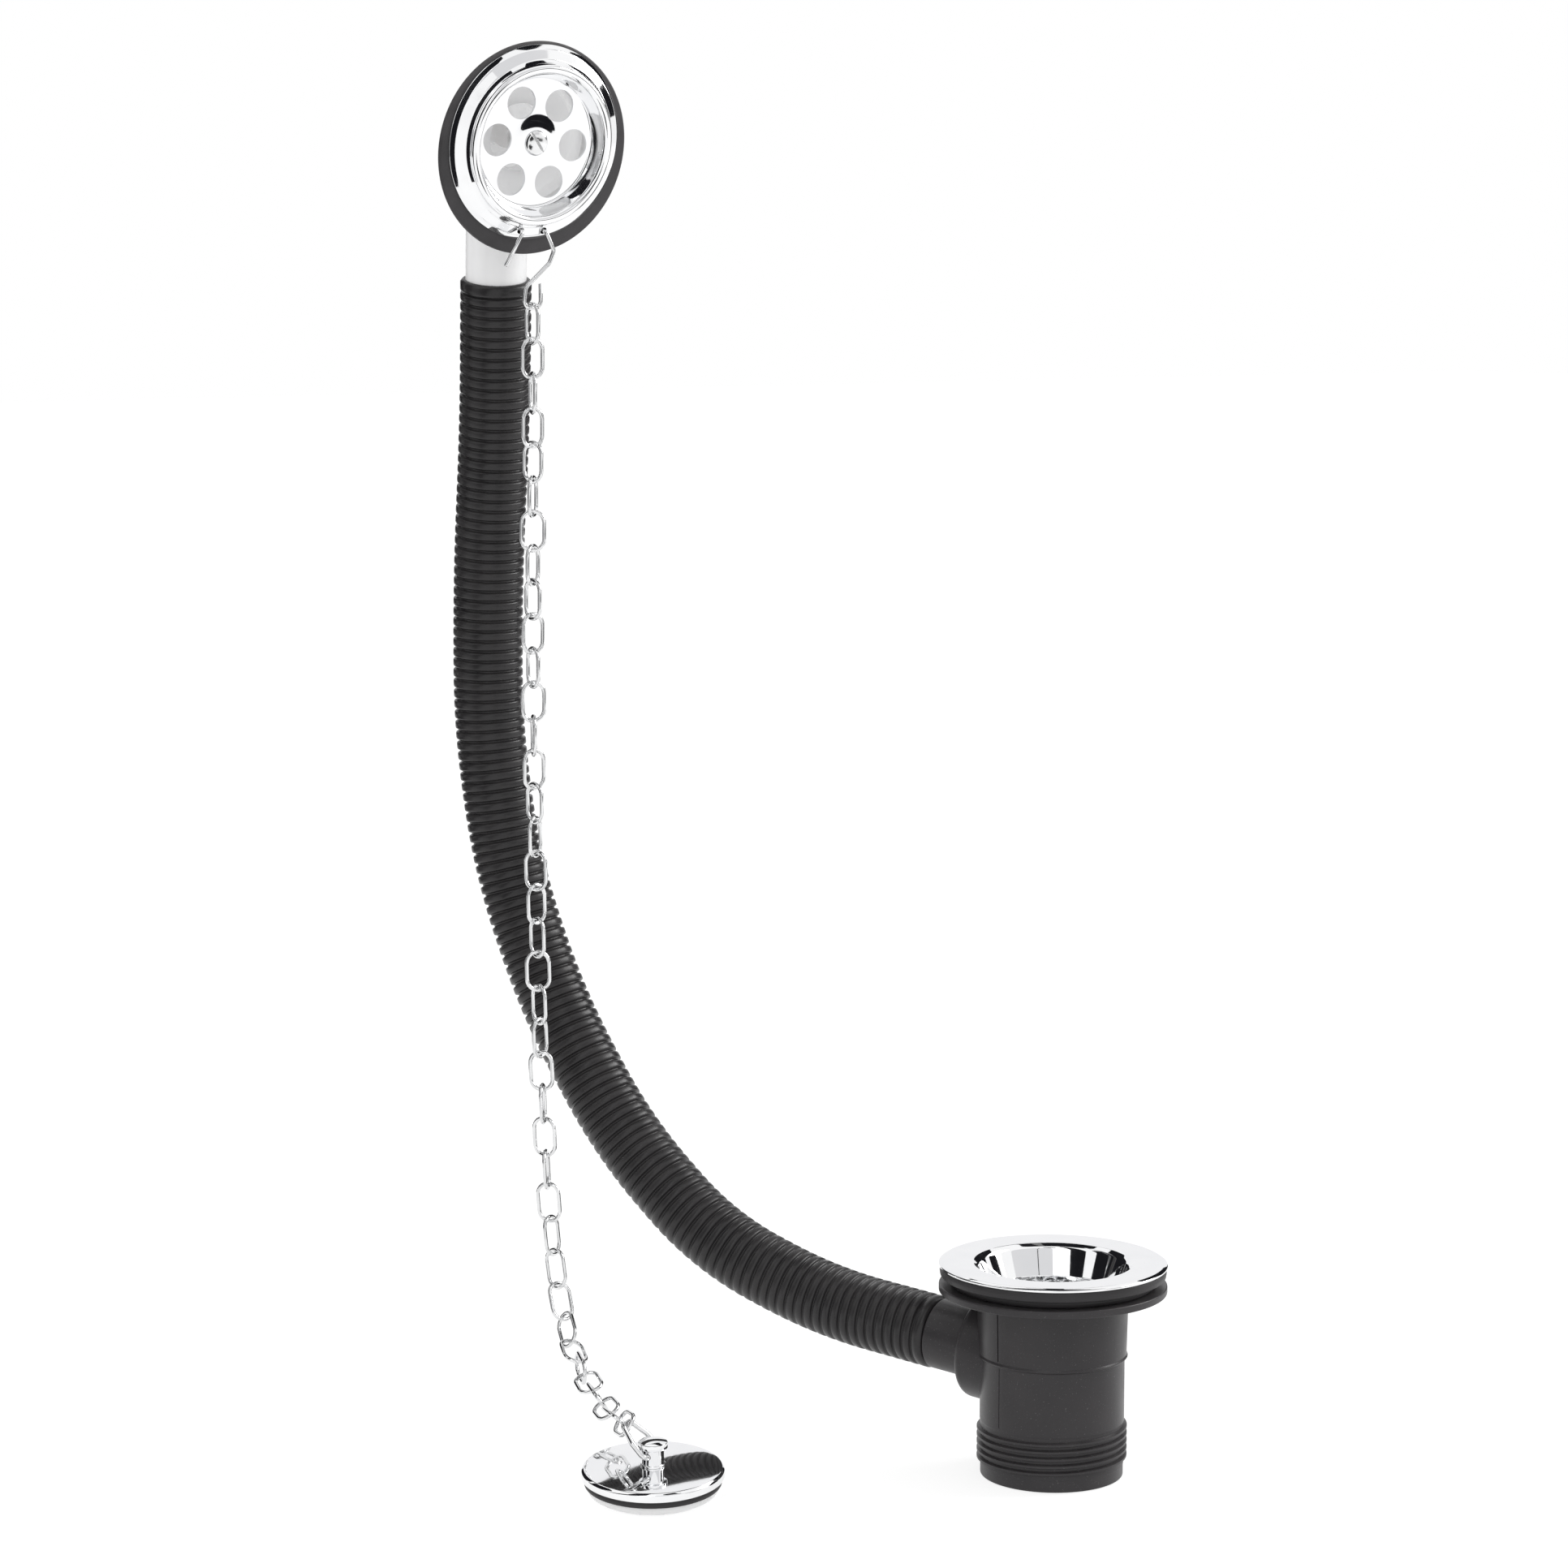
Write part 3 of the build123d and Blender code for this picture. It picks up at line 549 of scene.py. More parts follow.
# %% Corrugated hose
elbow_roll, elbow_depth, elbow_drop = math.radians(6), 23.0, 49.5
drop = Vector((math.sin(elbow_roll), -math.cos(elbow_roll), 0))
drop_direction = (plate.to_3x3() @ drop).normalized()
spigot_start = plate_centre - plate_normal * elbow_depth
hose_start = Vector((0, 0, branch_height)) + branch_direction * 42.0
hose_end = spigot_start + drop_direction * elbow_drop
hose_corners = [
    hose_start, hose_start + branch_direction * 44, Vector((-49, 118, 58)),
    Vector((-62.2, 152.3, 88.5)), Vector((-72, 180.7, 130.5)), Vector((-79.8, 197, 176)),
    Vector((-84.9, 200.7, 224)), Vector((-86.8, 196.7, 276)), hose_end + drop_direction * 48,
    hose_end,
]
hose_bends = []
for before, corner, after in zip(hose_corners, hose_corners[1:], hose_corners[2:]):
    run = min((corner - before).length, (after - corner).length)
    hose_bends.append(0.45 * run / math.tan((corner - before).angle(after - corner) / 2))
hose_line = arc_route(hose_corners, hose_bends, 1.0)
hose_length = route_length(hose_line)

crest, groove, hose_bore, cuff = 11.7, 10.65, 10.1, 4.0
ring_count = round((hose_length - 2 * cuff) / 3.45)
pitch = (hose_length - 2 * cuff) / ring_count
# One ring of the profile: share of the pitch, radius
ring_shape = [
    (0.0, groove), (0.085, groove + 0.04), (0.15, crest - 0.42), (0.205, crest - 0.12),
    (0.30, crest - 0.01), (0.5, crest), (0.70, crest - 0.01), (0.795, crest - 0.12),
    (0.85, crest - 0.42), (0.915, groove + 0.04),
]
hose_rings = [
    (0.0, crest - 1.0), (0.35, crest - 0.5), (1.0, crest), (2.2, crest), (3.2, crest - 0.05)
]
for ring in range(ring_count):
    hose_rings += [(cuff + (ring + share) * pitch, radius) for share, radius in ring_shape]
far = hose_length - cuff
hose_rings += [
    (far, groove), (far + 0.35, crest - 0.1), (far + 1.0, crest), (hose_length - 1.0, crest),
    (hose_length - 0.35, crest - 0.5), (hose_length, crest - 1.0),
]
outer_count, bore_steps = len(hose_rings), 90
hose_rings += [(hose_length * (1 - k / bore_steps), hose_bore) for k in range(bore_steps + 1)]

hose_sides, seams, seam_height = 52, (13, 39), 0.16
seam_side = Vector((0.94, 0.35, 0))
centres, directions = resample(hose_line, [distance for distance, _ in hose_rings])
hose_points = []
for index, ((_, radius), centre, direction) in enumerate(zip(hose_rings, centres, directions)):
    tangent = Vector(direction)
    side = (seam_side - tangent * seam_side.dot(tangent)).normalized()
    other = tangent.cross(side)
    for k in range(hose_sides):
        angle = math.tau * k / hose_sides
        r = radius + (seam_height if index < outer_count and k in seams else 0)
        spoke = (side * math.cos(angle) + other * math.sin(angle)) * r
        hose_points.append((Vector(centre) + spoke) * MM)
hose_faces = wrap(len(hose_rings), hose_sides, closed=True)
overflow_hose = new_piece("overflow_hose", hose_points, hose_faces, 75)
turn_faces_out(overflow_hose)
print("hose", round(hose_length), "mm,", ring_count, "rings at", round(pitch, 3), "mm")

# %% [markdown]
# The overflow's faceplate is pressed from sheet: a thin rim, a sloping skirt, a raised round lip
# and a dish with six holes. The section follows the sheet out over the lip and back underneath.


# %% Faceplate
def lip_arc(start, middle, end, steps=10):
    """Points of the circle through three points of a section."""
    a, b, c = Vector(start), Vector(middle), Vector(end)
    aa, bb, cc = a.length_squared, b.length_squared, c.length_squared
    d = 2 * (a.x * (b.y - c.y) + b.x * (c.y - a.y) + c.x * (a.y - b.y))
    x = (aa * (b.y - c.y) + bb * (c.y - a.y) + cc * (a.y - b.y)) / d
    y = (aa * (c.x - b.x) + bb * (a.x - c.x) + cc * (b.x - a.x)) / d
    centre = Vector((x, y))
    first, second, third = [math.atan2(*(p - centre).yx) for p in (a, b, c)]
    while second > first:
        second -= math.tau
    while third > second:
        third -= math.tau
    radius = (a - centre).length
    turns = [first + (third - first) * k / steps for k in range(steps + 1)]
    return [(centre.x + radius * math.cos(t), centre.y + radius * math.sin(t)) for t in turns]


dish_floor, plate_rim, lip_mouth, lip_foot = 0.9, 31.25, 22.6, 27.2
lip_middle = (lip_mouth + lip_foot) / 2 - 0.6
plate_section = [
    (0.001, 0.0), (0.001, plate_crown), (5.2, plate_crown, 24.0), (8.8, dish_floor, 24.0),
    (20.7, dish_floor, 1.0),
]
plate_section += lip_arc((lip_mouth, 4.6), (lip_middle, 6.4), (26.0, 4.4))
plate_section += [
    (26.9, 3.3, 1.4), (29.9, 2.15, 1.6), (plate_rim, 0.6, 0.5), (plate_rim, 0.02, 0.15),
    (30.26, 0.02, 0.15), (30.06, 0.9, 0.2), (lip_foot, 2.3, 0.3), (25.3, 2.9, 0.3),
    (24.8, 4.2, 0.3),
]
under = lip_arc((23.5, 4.2), (lip_middle, 5.5), (24.8, 4.2))
plate_section += under[::-1][1:] + [(21.6, 0.0, 0.4)]
faceplate = turned("faceplate", plate_section, plate, 192, steps=6)
plate_cutters = [bar(plate, 0, 0, -1, 3, radius=2.7)]
plate_cutters += hole_circle(plate, 6, 14.1, 5.2, -1, 3, math.radians(-2.5))
hook_drop, left_hole, right_hole = -28.0, -3.3, 5.3
for x in (left_hole, right_hole):
    plate_cutters.append(bar(plate, x, hook_drop, -1, 6, radius=1.15, sides=24))
combine(faceplate, plate_cutters)
print("faceplate", len(faceplate.data.polygons), "faces")

# %% [markdown]
# Behind the seal sits the elbow, a pale moulding that gathers the water in a shallow cup and turns
# it down into the hose. Like the body it is joined from turned solids and then hollowed.

# %% Overflow elbow
spigot_place = place(spigot_start, plate_normal, drop_direction)
spigot_end, pipe_end = 64.9, 67
elbow_section = [
    (0, -2.65), (28.9, -2.65, 0.3), (28.9, -5.0, 0.6), (21.6, -5.0, 0.8), (21.6, -10.6, 1.2),
    (12.8, -10.6, 1.0), (12.8, -33.8, 6.5), (0, -33.8),
]
cup_section = [
    (0, -2), (19.6, -2), (19.6, -8.6, 0.8), (10.8, -8.6, 0.5), (10.8, -31.8, 4), (0, -31.8),
]
pipe_section = [(0, 0), (spigot_radius, 0), (spigot_radius, spigot_end, 0.6), (0, spigot_end)]
pipe_bore_section = [(0, 0), (spigot_bore, 0), (spigot_bore, pipe_end), (0, pipe_end)]
elbow_boss_section = [(0, -33.0), (5.0, -33.0), (5.0, insert_front, 0.3), (0, insert_front)]
overflow_elbow = turned("overflow_elbow", elbow_section, plate, closed=False, steps=7)
combine(overflow_elbow, [loose_turned(pipe_section, spigot_place, 80)], "UNION")
elbow_cup = loose_turned(cup_section, plate)
combine(overflow_elbow, [elbow_cup, loose_turned(pipe_bore_section, spigot_place, 64)])
combine(overflow_elbow, [loose_turned(elbow_boss_section, plate, 48)], "UNION")
combine(overflow_elbow, [bar(plate, 0, 0, insert_back, -8, radius=3.5)])
print("elbow", len(overflow_elbow.data.polygons), "faces")

# %% [markdown]
# The chain hangs from a wire hook that passes through two small holes in the plate's skirt. Its
# ends are slightly bevelled, where the wire was cropped.

# %% Chain hook
hook_wire, loop_foot = 1.3, -52.0
hook_points = [
    (-9.4, -38.9, 5.8), (left_hole, hook_drop, 4.4), (left_hole, hook_drop, 0.85),
    (right_hole, hook_drop, 0.85), (right_hole, hook_drop, 4.4), (8.6, -34.0, 5.0),
    (7.0, -38.0, 5.5), (-1.9, -45.4, 7.2), (-2.8, loop_foot, 8.4), (3.8, loop_foot, 8.4),
    (3.4, -44.2, 7.2),
]
hook_bends = [1.2, 0.8, 0.8, 1.2, 1.8, 3.0, 2.5, 2.6, 2.6]
hook_line = arc_route([on(plate, *p) for p in hook_points], hook_bends, 0.35)
points, faces = tube(hook_line, hook_wire / 2, 18)
chain_hook = new_piece("chain_hook", points, faces, 50)
print("hook wire", round(route_length(hook_line)), "mm")

# %% [markdown]
# Each link of the chain takes its place from its own CAD node. The node's points are spread most
# along the link, less across it and least through it, so the main directions of the spread give
# the link's axes. A round wire bent to the same oval then replaces the plain link.

# %% Chain links
link_count, link_half, link_bend, link_wire, end_steps = 38, 6.35, 3.7, 1.3, 12


def link_axes(node):
    """The centre of a link, and the directions across it and along it."""
    points = np.array([v.co for v in node.data.vertices])
    centre = points.mean(0)
    _, vectors = np.linalg.eigh(np.cov((points - centre).T))
    spread = (points - centre) @ vectors
    offset = (spread.min(0) + spread.max(0)) / 2
    return Vector(centre + vectors @ offset) / MM, Vector(vectors[:, 1]), Vector(vectors[:, 2])


link_outline = []
for end_side in (1, -1):
    for step in range(end_steps + 1):
        x, y = polar(link_bend, math.pi * step / end_steps)
        link_outline.append((end_side * x, end_side * (link_half - link_bend + y)))
links = []
for number in range(1, link_count + 1):
    node = f"chain_link_{number:02d}"
    centre, across, along = link_axes(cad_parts[node])
    oval_line = [centre + across * x + along * y for x, y in link_outline]
    points, faces = tube(oval_line, link_wire / 2, 12, closed=True)
    links.append(new_piece(node, points, faces, 60))
print("links", len(links))

# %% [markdown]
# The plug is a low sandwich: a pale base that is rounded underneath, a black sealing ring, and a
# mirror bright cap with a small post on it. The post's cross hole carries a flattened wire shackle
# for the chain's last link.

# %% Plug
base_top, cap_foot, cap_top, crown, post_hole, cap_radius = 3.7, 5.7, 8.9, 9.6, 2.35, 22.3
base_section = [
    (post_hole, 0.0, 0.2), (17.3, 0.0, 2.2), (20.2, 1.6, 1.6), (base_radius, base_top, 0.2),
    (7.9, base_top), (7.9, cap_foot), (post_hole, cap_foot),
]
plug_base = turned("plug_base", base_section, plug, steps=6)
seal_section = [
    (8.05, base_top + 0.02), (21.3, base_top + 0.02, 0.5), (21.5, 4.7, 0.6),
    (21.3, cap_foot - 0.02, 0.5), (8.05, cap_foot - 0.02),
]
plug_seal = turned("plug_seal", seal_section, plug)
cap_section = [
    (post_hole, crown - 0.01), (post_hole, cap_foot + 0.02), (21.8, cap_foot + 0.02, 0.2),
    (cap_radius, 6.2, 0.3), (cap_radius, 8.2, 0.7), (21.5, 8.93, 0.5),
]
cap_section += [
    (r, cap_top + 0.7 * (1 - (r / 22.0) ** 2) ** 0.9) for r in (20, 18, 15, 12, 9, 6, 4)
]
plug_cap = turned("plug_cap", cap_section, plug, 144, sharp=40)

stem, head_radius, head_foot, head_top = 3.4, 4.6, crown + 5.8, crown + 8.2
post_section = [
    (0, 0.6), (2.2, 0.6, 0.2), (2.2, crown), (3.9, crown, 0.1), (3.9, crown + 0.7, 0.25),
    (stem, crown + 0.7, 0.1), (stem, head_foot, 0.15), (head_radius, head_foot, 0.2),
    (head_radius, head_top - 0.6, 0.4),
]
post_section += [
    (r, head_top - 0.6 * (r / head_radius) ** 2) for r in (4.2, 3.4, 2.5, 1.5, 0.7, 0)
]
plug_post = turned("plug_post", post_section, plug, 72, closed=False, steps=5)
hole_middle = on(plug, 0, 0, crown + 3.6)
along_hole = Vector((0.876, 0.485, 0))
hole_direction = (along_hole - plug_normal * along_hole.dot(plug_normal)).normalized()
hole_place = place(hole_middle, plug_normal, hole_direction)
combine(plug_post, [bar(hole_place, 0, 0, -6, 6, radius=0.95, sides=24)])

shackle_wire, shackle_rise = 1.7, math.radians(42)
outward = plug_normal.cross(hole_direction)
reach = outward * math.cos(shackle_rise) + plug_normal * math.sin(shackle_rise)
shackle_corners = [(5.4, 0), (4.8, 6.2), (2.43, 12.4), (-2.43, 12.4), (-4.8, 6.2), (-5.4, 0)]
shackle_line = arc_route(
    [hole_middle + hole_direction * x + reach * y for x, y in shackle_corners],
    [1.6] * len(shackle_corners), 0.4, closed=True,
)
points, faces = tube(shackle_line, shackle_wire / 2, 18, closed=True)
plug_shackle = new_piece("plug_shackle", points, faces, 60)

# %% [markdown]
# The finishes share three effects, each a node group. Fine grain is the texture of a moulded or
# plated skin. Handling marks vary the gloss in soft patches with a few fine streaks. Dust is a
# thin pale film on surfaces that look upwards.


# %% Node helpers
def set_inputs(tree, node, inputs):
    """Sets each input to its value, or links it where a socket is given."""
    for label, value in inputs.items():
        if isinstance(value, bpy.types.NodeSocket):
            tree.links.new(value, node.inputs[label])
        else:
            node.inputs[label].default_value = value
    return node


def new_node(tree, kind, inputs=None):
    return set_inputs(tree, tree.nodes.new("ShaderNode" + kind), inputs or {})


def noise(tree, vector, scale, detail=4.0, rough=0.5):
    inputs = {"Vector": vector, "Scale": scale, "Detail": detail, "Roughness": rough}
    return new_node(tree, "TexNoise", inputs).outputs["Fac"]


def map_range(tree, value, low, high, to_low, to_high):
    inputs = {
        "Value": value, "From Min": low, "From Max": high, "To Min": to_low, "To Max": to_high,
    }
    return new_node(tree, "MapRange", inputs).outputs["Result"]


def math_node(tree, operation, a, b):
    node = tree.nodes.new("ShaderNodeMath")
    node.operation = operation
    return set_inputs(tree, node, {0: a, 1: b}).outputs["Value"]


def mix_colour(tree, share, first, second):
    node = tree.nodes.new("ShaderNodeMix")
    node.data_type = "RGBA"
    return set_inputs(tree, node, {0: share, 6: first, 7: second}).outputs[2]


FLOAT, COLOUR, VECTOR = "NodeSocketFloat", "NodeSocketColor", "NodeSocketVector"


def node_group(name, inputs, outputs):
    """A group, the sockets inside it that give its inputs, and its output node."""
    tree = bpy.data.node_groups.new(name, "ShaderNodeTree")
    for label, kind, value in inputs:
        socket = tree.interface.new_socket(name=label, in_out="INPUT", socket_type=kind)
        if value is not None:
            socket.default_value = value
    for label, kind in outputs:
        tree.interface.new_socket(name=label, in_out="OUTPUT", socket_type=kind)
    return tree, tree.nodes.new("NodeGroupInput").outputs, tree.nodes.new("NodeGroupOutput")


def use_group(tree, group, inputs):
    node = tree.nodes.new("ShaderNodeGroup")
    node.node_tree = group
    return set_inputs(tree, node, inputs)


# %% Fine grain group
grain_group, given, result = node_group(
    "Fine grain",
    [("Vector", VECTOR, None), ("Scale", FLOAT, 900.0), ("Coarse share", FLOAT, 0.35)],
    [("Height", FLOAT), ("Fleck", FLOAT)],
)
fine = noise(grain_group, given["Vector"], given["Scale"], 5.0, 0.62)
coarse_scale = math_node(grain_group, "MULTIPLY", given["Scale"], 0.11)
coarse = noise(grain_group, given["Vector"], coarse_scale, 2.0)
weighted = math_node(grain_group, "MULTIPLY", coarse, given["Coarse share"])
speck_scale = math_node(grain_group, "MULTIPLY", given["Scale"], 1.7)
speck = noise(grain_group, given["Vector"], speck_scale, 1.0)
set_inputs(grain_group, result, {
    "Height": math_node(grain_group, "ADD", fine, weighted),
    "Fleck": map_range(grain_group, speck, 0.69, 0.76, 0.0, 1.0),
})

# %% Handling marks group
marks_group, given, result = node_group(
    "Handling marks",
    [("Vector", VECTOR, None), ("Scale", FLOAT, 60.0), ("Smooth", FLOAT, 0.1),
     ("Dull", FLOAT, 0.3)],
    [("Roughness", FLOAT), ("Patches", FLOAT)],
)
patches = noise(marks_group, given["Vector"], given["Scale"], 3.0)
stretch = new_node(marks_group, "Mapping", {
    "Vector": given["Vector"], "Scale": (1.0, 1.0, 0.08), "Rotation": (0.4, 0.9, 0.2),
})
streak_scale = math_node(marks_group, "MULTIPLY", given["Scale"], 14.0)
streaks = noise(marks_group, stretch.outputs["Vector"], streak_scale, 2.0)
fine_streaks = map_range(marks_group, streaks, 0.66, 0.78, 0.0, 0.5)
soft = map_range(marks_group, patches, 0.35, 0.7, 0.0, 0.8)
worn = math_node(marks_group, "ADD", soft, fine_streaks)
set_inputs(marks_group, result, {
    "Roughness": map_range(marks_group, worn, 0.0, 1.0, given["Smooth"], given["Dull"]),
    "Patches": patches,
})

# %% Dust group
dust_group, given, result = node_group(
    "Dust film",
    [("Colour", COLOUR, (0.5, 0.5, 0.5, 1)), ("Vector", VECTOR, None), ("Normal", VECTOR, None),
     ("Dust colour", COLOUR, (0.5, 0.48, 0.45, 1)), ("Amount", FLOAT, 0.1)],
    [("Colour", COLOUR)],
)
height = new_node(dust_group, "SeparateXYZ", {"Vector": given["Normal"]}).outputs["Z"]
upward = map_range(dust_group, height, 0.2, 1.0, 0.0, 1.0)
clumps = noise(dust_group, given["Vector"], 180.0, 2.0)
thin = map_range(dust_group, clumps, 0.35, 0.75, 0.2, 1.0)
settled = math_node(dust_group, "MULTIPLY", upward, thin)
amount = math_node(dust_group, "MULTIPLY", settled, given["Amount"])
dusty = mix_colour(dust_group, amount, given["Colour"], given["Dust colour"])
set_inputs(dust_group, result, {"Colour": dusty})
print("node groups", len(bpy.data.node_groups))

# %% [markdown]
# A finish is a Principled shader with those groups in front of it. What is the same all over is
# set straight on the shader. What changes over the surface comes from the groups: colour through
# the dust, roughness through the marks, relief through the grain.


# %% Finish helper
def finish(name, dark, light, smooth_to_dull, grain, marks_scale, metallic=0.0, dust=0.0,
           fleck=0.0, specular=0.5, soft=0.0, glow=0.0):
    """A material that varies between two colours. Grain is a scale and a strength."""
    material = bpy.data.materials.new(name)
    material.use_nodes = True
    tree = material.node_tree
    shader = tree.nodes["Principled BSDF"]
    where = new_node(tree, "TexCoord").outputs["Object"]

    smoothest, dullest = smooth_to_dull
    marks = use_group(tree, marks_group, {
        "Scale": marks_scale, "Smooth": smoothest, "Dull": dullest, "Vector": where,
    })
    ramp = new_node(tree, "ValToRGB", {"Fac": marks.outputs["Patches"]})
    for stop, position, colour in zip(ramp.color_ramp.elements, (0.3, 0.7), (dark, light)):
        stop.position, stop.color = position, (*colour, 1)
    colour = ramp.outputs["Color"]

    grain_scale, grain_strength = grain
    texture = use_group(tree, grain_group, {"Scale": grain_scale, "Vector": where})
    bump = new_node(tree, "Bump", {
        "Strength": grain_strength, "Distance": 0.0002, "Height": texture.outputs["Height"],
    })
    if fleck:
        pale = (*[min(1, c + fleck) for c in light], 1)
        colour = mix_colour(tree, texture.outputs["Fleck"], colour, pale)
    film = use_group(tree, dust_group, {
        "Amount": dust, "Colour": colour, "Vector": where,
        "Normal": new_node(tree, "NewGeometry").outputs["Normal"],
    })
    set_inputs(tree, shader, {
        "Metallic": metallic, "Specular IOR Level": specular,
        "Subsurface Weight": soft, "Subsurface Radius": (1.0, 1.0, 1.0),
        "Subsurface Scale": 0.015,
        # Glow is painted light, an emission on a part that is no lamp.
        "Emission Color": (1, 1, 1, 1), "Emission Strength": glow,
        "Roughness": marks.outputs["Roughness"], "Normal": bump.outputs["Normal"],
        "Base Color": film.outputs["Colour"],
    })
    return material


# %% [markdown]
# Chrome plate is a mirror with a cool tint. The chain's drawn wire is never as flat, so its gloss
# varies more. Rubber is matt and takes a little dust. In the seals of the waste and the plug it is
# painted darker than behind the faceplate, as painted shade for the narrow gaps that they sit in.
# The body and the hose are charcoal polypropylene with a satin skin. The elbow and the plug's base
# are a pale plastic, soft inside, and its weak glow is painted light that brightens their shaded
# insides, in place of the light that comes through the thin walls.

# %% Finishes
# Name, dark, light, smooth to dull, grain, scale of the marks, what else is set, pieces
metal, rubber = {"metallic": 1.0}, {"specular": 0.35}
finishes = [
    ("chrome_plate", (0.91, 0.915, 0.925), (0.95, 0.952, 0.958), (0.03, 0.085),
     (700.0, 0.006), 90.0, metal, [waste_flange, faceplate, plug_cap, plug_post]),
    ("chain_wire", (0.74, 0.745, 0.75), (0.85, 0.853, 0.858), (0.05, 0.14),
     (1500.0, 0.03), 220.0, metal, [chain_hook, plug_shackle] + links),
    ("steel_screw", (0.80, 0.80, 0.805), (0.90, 0.90, 0.905), (0.10, 0.22),
     (1300.0, 0.04), 300.0, metal, [waste_screw, overflow_screw]),
    ("brass", (0.62, 0.45, 0.20), (0.75, 0.58, 0.29), (0.2, 0.4),
     (1400.0, 0.05), 200.0, metal, [waste_insert, overflow_insert]),
    ("black_rubber", (0.042, 0.040, 0.042), (0.060, 0.057, 0.060), (0.48, 0.66),
     (1600.0, 0.12), 120.0, {**rubber, "dust": 0.08}, [overflow_seal]),
    # The same rubber painted darker: painted shade for the narrow gaps that the seals of the waste
    # and the plug sit in.
    ("dark_rubber", (0.020, 0.019, 0.020), (0.030, 0.028, 0.030), (0.42, 0.60),
     (1600.0, 0.10), 120.0, {**rubber, "dust": 0.03}, [upper_seal, lower_seal, plug_seal]),
    ("charcoal_plastic", (0.024, 0.022, 0.024), (0.034, 0.031, 0.033),
     (0.30, 0.46), (1300.0, 0.08), 70.0, {"dust": 0.03, "fleck": 0.05, "specular": 0.36},
     [waste_body, outlet_thread]),
    ("charcoal_hose", (0.018, 0.017, 0.018), (0.026, 0.024, 0.025), (0.28, 0.42),
     (1500.0, 0.07), 90.0, {"dust": 0.015, "specular": 0.36}, [overflow_hose]),
    ("white_plastic", (0.95, 0.95, 0.955), (0.975, 0.975, 0.98), (0.22, 0.36),
     # The glow is painted light: a weak emission that brightens the pale plastic's shaded insides.
     (1100.0, 0.04), 60.0, {"soft": 0.4, "glow": 0.08}, [overflow_elbow, plug_base]),
]
for name, *look, more, pieces in finishes:
    material = finish(name, *look, **more)
    for piece in pieces:
        piece.data.materials.clear()
        piece.data.materials.append(material)
print("finishes", len(finishes))

# %% [markdown]
# The floor is a plain pale sheet that takes the object's shadow. It glows weakly for the light on
# the object, more in what the chrome mirrors, and most for the camera, so that no horizon shows.


# %% Floor
def bare_material(name):
    """A material with only its output node."""
    material = bpy.data.materials.new(name)
    material.use_nodes = True
    material.node_tree.nodes.clear()
    return material, material.node_tree, new_node(material.node_tree, "OutputMaterial")


floor = mesh_object("floor", [(-9, -9, 0), (9, -9, 0), (9, 9, 0), (-9, 9, 0)], [[0, 1, 2, 3]])
floor.location.z = -0.0002
floor_material, tree, output = bare_material("pale_floor")
speckle = new_node(tree, "TexNoise", {"Scale": 30})
tone = new_node(tree, "ValToRGB", {"Fac": speckle.outputs["Fac"]})
for stop, grey in zip(tone.color_ramp.elements, (0.30, 0.31)):
    stop.color = (grey, grey, grey, 1)
matt = new_node(tree, "BsdfDiffuse", {"Color": tone.outputs["Color"]})
path = new_node(tree, "LightPath").outputs
by_camera = map_range(tree, path["Is Camera Ray"], 0.0, 1.0, 0.40, 0.78)
by_mirror = map_range(tree, path["Is Glossy Ray"], 0.0, 1.0, 0.0, 0.68)
glow = new_node(tree, "Emission", {"Strength": math_node(tree, "MAXIMUM", by_camera, by_mirror)})
both = new_node(tree, "AddShader", {0: matt.outputs["BSDF"], 1: glow.outputs["Emission"]})
set_inputs(tree, output, {"Surface": both.outputs["Shader"]})
floor.data.materials.append(floor_material)

# %% [markdown]
# A white room and two soft lamps light the object, the stronger one from the right.

# %% World and lamps
scene.world = bpy.data.worlds.new("studio")
scene.world.use_nodes = True
tree = scene.world.node_tree
path = new_node(tree, "LightPath").outputs
seen = math_node(tree, "MAXIMUM", path["Is Camera Ray"], path["Is Glossy Ray"])
seen = math_node(tree, "MAXIMUM", seen, path["Is Transmission Ray"])
set_inputs(tree, tree.nodes["Background"], {
    "Color": (1, 1, 1, 1), "Strength": map_range(tree, seen, 0.0, 1.0, 0.92, 1.0),
})


lamp_target = Vector((-0.05, 0.1, 0.2))
for name, location, size, power in (
    ("key_lamp", (-1.4, -0.9, 1.6), 1.2, 4), ("fill_lamp", (1.5, -0.5, 1.1), 1.0, 20),
):
    data = bpy.data.lights.new(name, "AREA")
    data.shape, data.size, data.energy = "SQUARE", size, power
    lamp = bpy.data.objects.new(name, data)
    scene.collection.objects.link(lamp)
    lamp.location = location
    sight = lamp_target - Vector(location)
    lamp.rotation_euler = sight.to_track_quat("-Z", "Y").to_euler()

# %% [markdown]
# Chrome shows what is round it: the white room gives the pale faces, and a few cards that only
# reflections can see give the dark lines. Most are ovals that stand round the object, lie on the
# floor or hang over it, placed by their bearing from the camera's side, to the right being
# positive. The faceplate's lines are so fine that they have narrow curved cards of their own.

# %% Studio cards
BLACK = (0.01, 0.01, 0.012)
floor_lift = 0.003
middle = Vector((-0.05, 0.09, 0.0))
camera_side, camera_right = Vector((-0.5736, -0.8192, 0)), Vector((0.8192, -0.5736, 0))


def studio_card(name, corners, colour=BLACK, faces=None):
    """A card that shows only in reflections, flat unless faces are given."""
    card = mesh_object(name, corners, faces or [list(range(len(corners)))])
    material, tree, output = bare_material(name)
    glow = new_node(tree, "Emission", {"Color": (*colour, 1), "Strength": 1.0})
    set_inputs(tree, output, {"Surface": glow.outputs["Emission"]})
    card.data.materials.append(material)
    card.visible_camera = card.visible_diffuse = card.visible_shadow = False
    card.visible_transmission = False


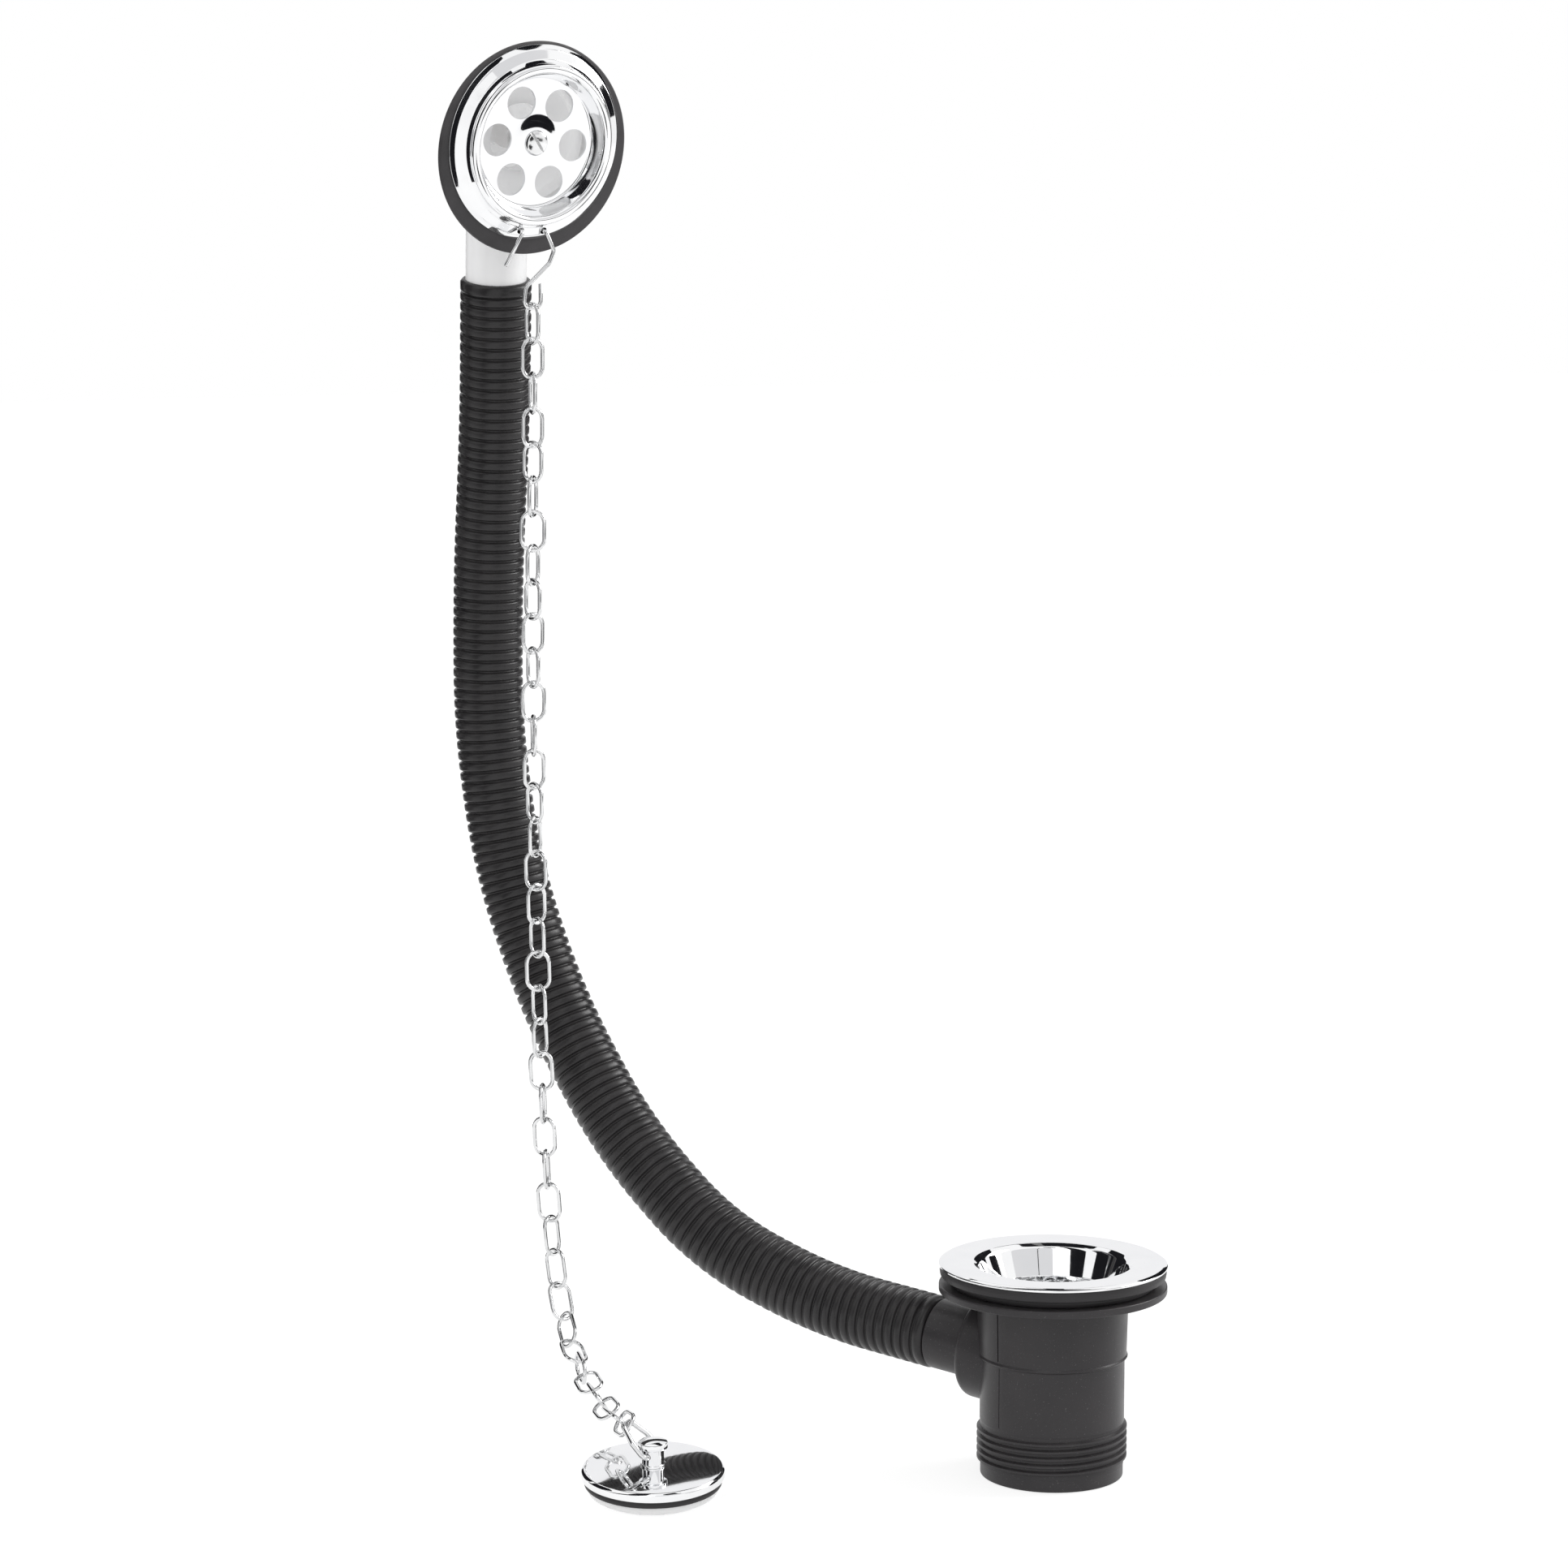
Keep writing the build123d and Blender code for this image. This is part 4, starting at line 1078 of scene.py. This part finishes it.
def oval(centre, side, rise, fullness, sides=48):
    """A closed outline, an ellipse at fullness 1 and more like a rounded rectangle below it."""
    outline = []
    for k in range(sides):
        c, t = polar(1, math.tau * (k + 0.5) / sides)
        x, y = math.copysign(abs(c) ** fullness, c), math.copysign(abs(t) ** fullness, t)
        outline.append(centre + side * x + rise * y)
    return outline


def bearing_direction(bearing):
    x, y = polar(1, math.radians(bearing))
    return camera_side * x + camera_right * y


def upright_card(name, bearing, width, low, high, distance, colour, fullness):
    """An oval card that spans the given degrees of bearing, between two heights in metres."""
    outward = bearing_direction(bearing)
    across = up.cross(outward) * distance * math.tan(math.radians(width / 2))
    centre = middle + outward * distance + up * ((low + high) / 2)
    studio_card(name, oval(centre, across, up * ((high - low) / 2), fullness), colour)


def floor_card(name, bearing, width, near, far):
    """A black sheet on the floor that spans the given degrees, between two distances in metres."""
    corners = [
        middle + bearing_direction(bearing + side * width / 2) * distance + up * floor_lift
        for side, distance in ((-1, near), (-1, far), (1, far), (1, near))
    ]
    studio_card(name, corners)


def rim_card(name, radius, first, last, slope, spread, distance=0.32, colour=BLACK, count=24):
    """A curved strip that the faceplate mirrors as a tapered crescent between two angles, where
    the metal slopes by the given degrees, outward if positive."""
    corners = []
    for k in range(count + 1):
        turn = math.radians(first + (last - first) * k / count)
        taper = 0.15 + 0.85 * math.sin(math.pi * k / count)
        radial = (plate.to_3x3() @ Vector((*polar(1, turn), 0))).normalized()
        start = (plate_centre + radial * radius) * MM
        sight = (start - camera.location).normalized()
        for side in (-1, 1):
            tip = math.radians(slope + side * spread * taper)
            facing = plate_normal * math.cos(tip) + radial * math.sin(tip)
            ray = sight - facing * 2 * sight.dot(facing)
            run = min(distance, (floor_lift - start.z) / ray.z) if ray.z < 0 else distance
            corners.append(start + ray * run)
    strip = [[k, k + 1, k + 3, k + 2] for k in range(0, 2 * count, 2)]
    studio_card(name, corners, colour, strip)


# Name, bearing, width, low, high, distance, colour, fullness
for row in (
    ("card_left_grey", -64, 28, 0.0, 0.55, 1.15, (0.55, 0.55, 0.56), 0.4),
    ("card_left_low", -58, 8, -0.05, 0.12, 1.05, (0.05, 0.05, 0.05), 1.0),
    ("card_back_left", -97, 38, 0.0, 2.5, 2.0, BLACK, 0.4),
    ("card_back_left_far", -138, 34, 0.0, 2.2, 2.0, BLACK, 0.4),
    ("card_right", 66, 34, -0.1, 0.33, 2.0, BLACK, 1.0),
    ("card_back_right", 141, 35, -0.1, 1.7, 2.0, BLACK, 0.5),
    ("card_right_side", 106, 16, 0.3, 1.25, 2.0, BLACK, 0.5),
    ("card_backdrop", 180, 80, 0.1, 2.2, 2.6, (0.92, 0.92, 0.93), 0.3),
    ("card_panel", 17, 104, 0.9, 2.5, 2.0, (0.74, 0.74, 0.75), 0.3),
    ("card_panel_line", 25, 1.3, 0.9, 2.2, 1.8, BLACK, 0.3),
):
    upright_card(*row)
overhead = middle + up * 2.2 - camera_side * 0.4
studio_card("card_above", oval(overhead, camera_right * 0.95, camera_side * 0.8, 0.6))
floor_card("card_floor_left", -118, 44, 0.6, 2.0)
floor_card("card_floor_right", 138, 32, 0.6, 1.4)
rim_card("card_rim_left", 30.5, 120, 208, 50, 8, distance=0.55)
rim_card("card_rim_right", 29.9, -52, 16, 34, 7)
rim_card("card_rim_top", 29.9, 44, 92, 36, 4, colour=(0.2, 0.2, 0.2))
rim_card("card_lip_left", 22.8, 118, 258, -50, 9)
rim_card("card_dish_right", 20.5, 6, 40, -21, 6)
rim_card("card_dish_low", 20.5, -52, -12, -21, 6)
print("studio ready")
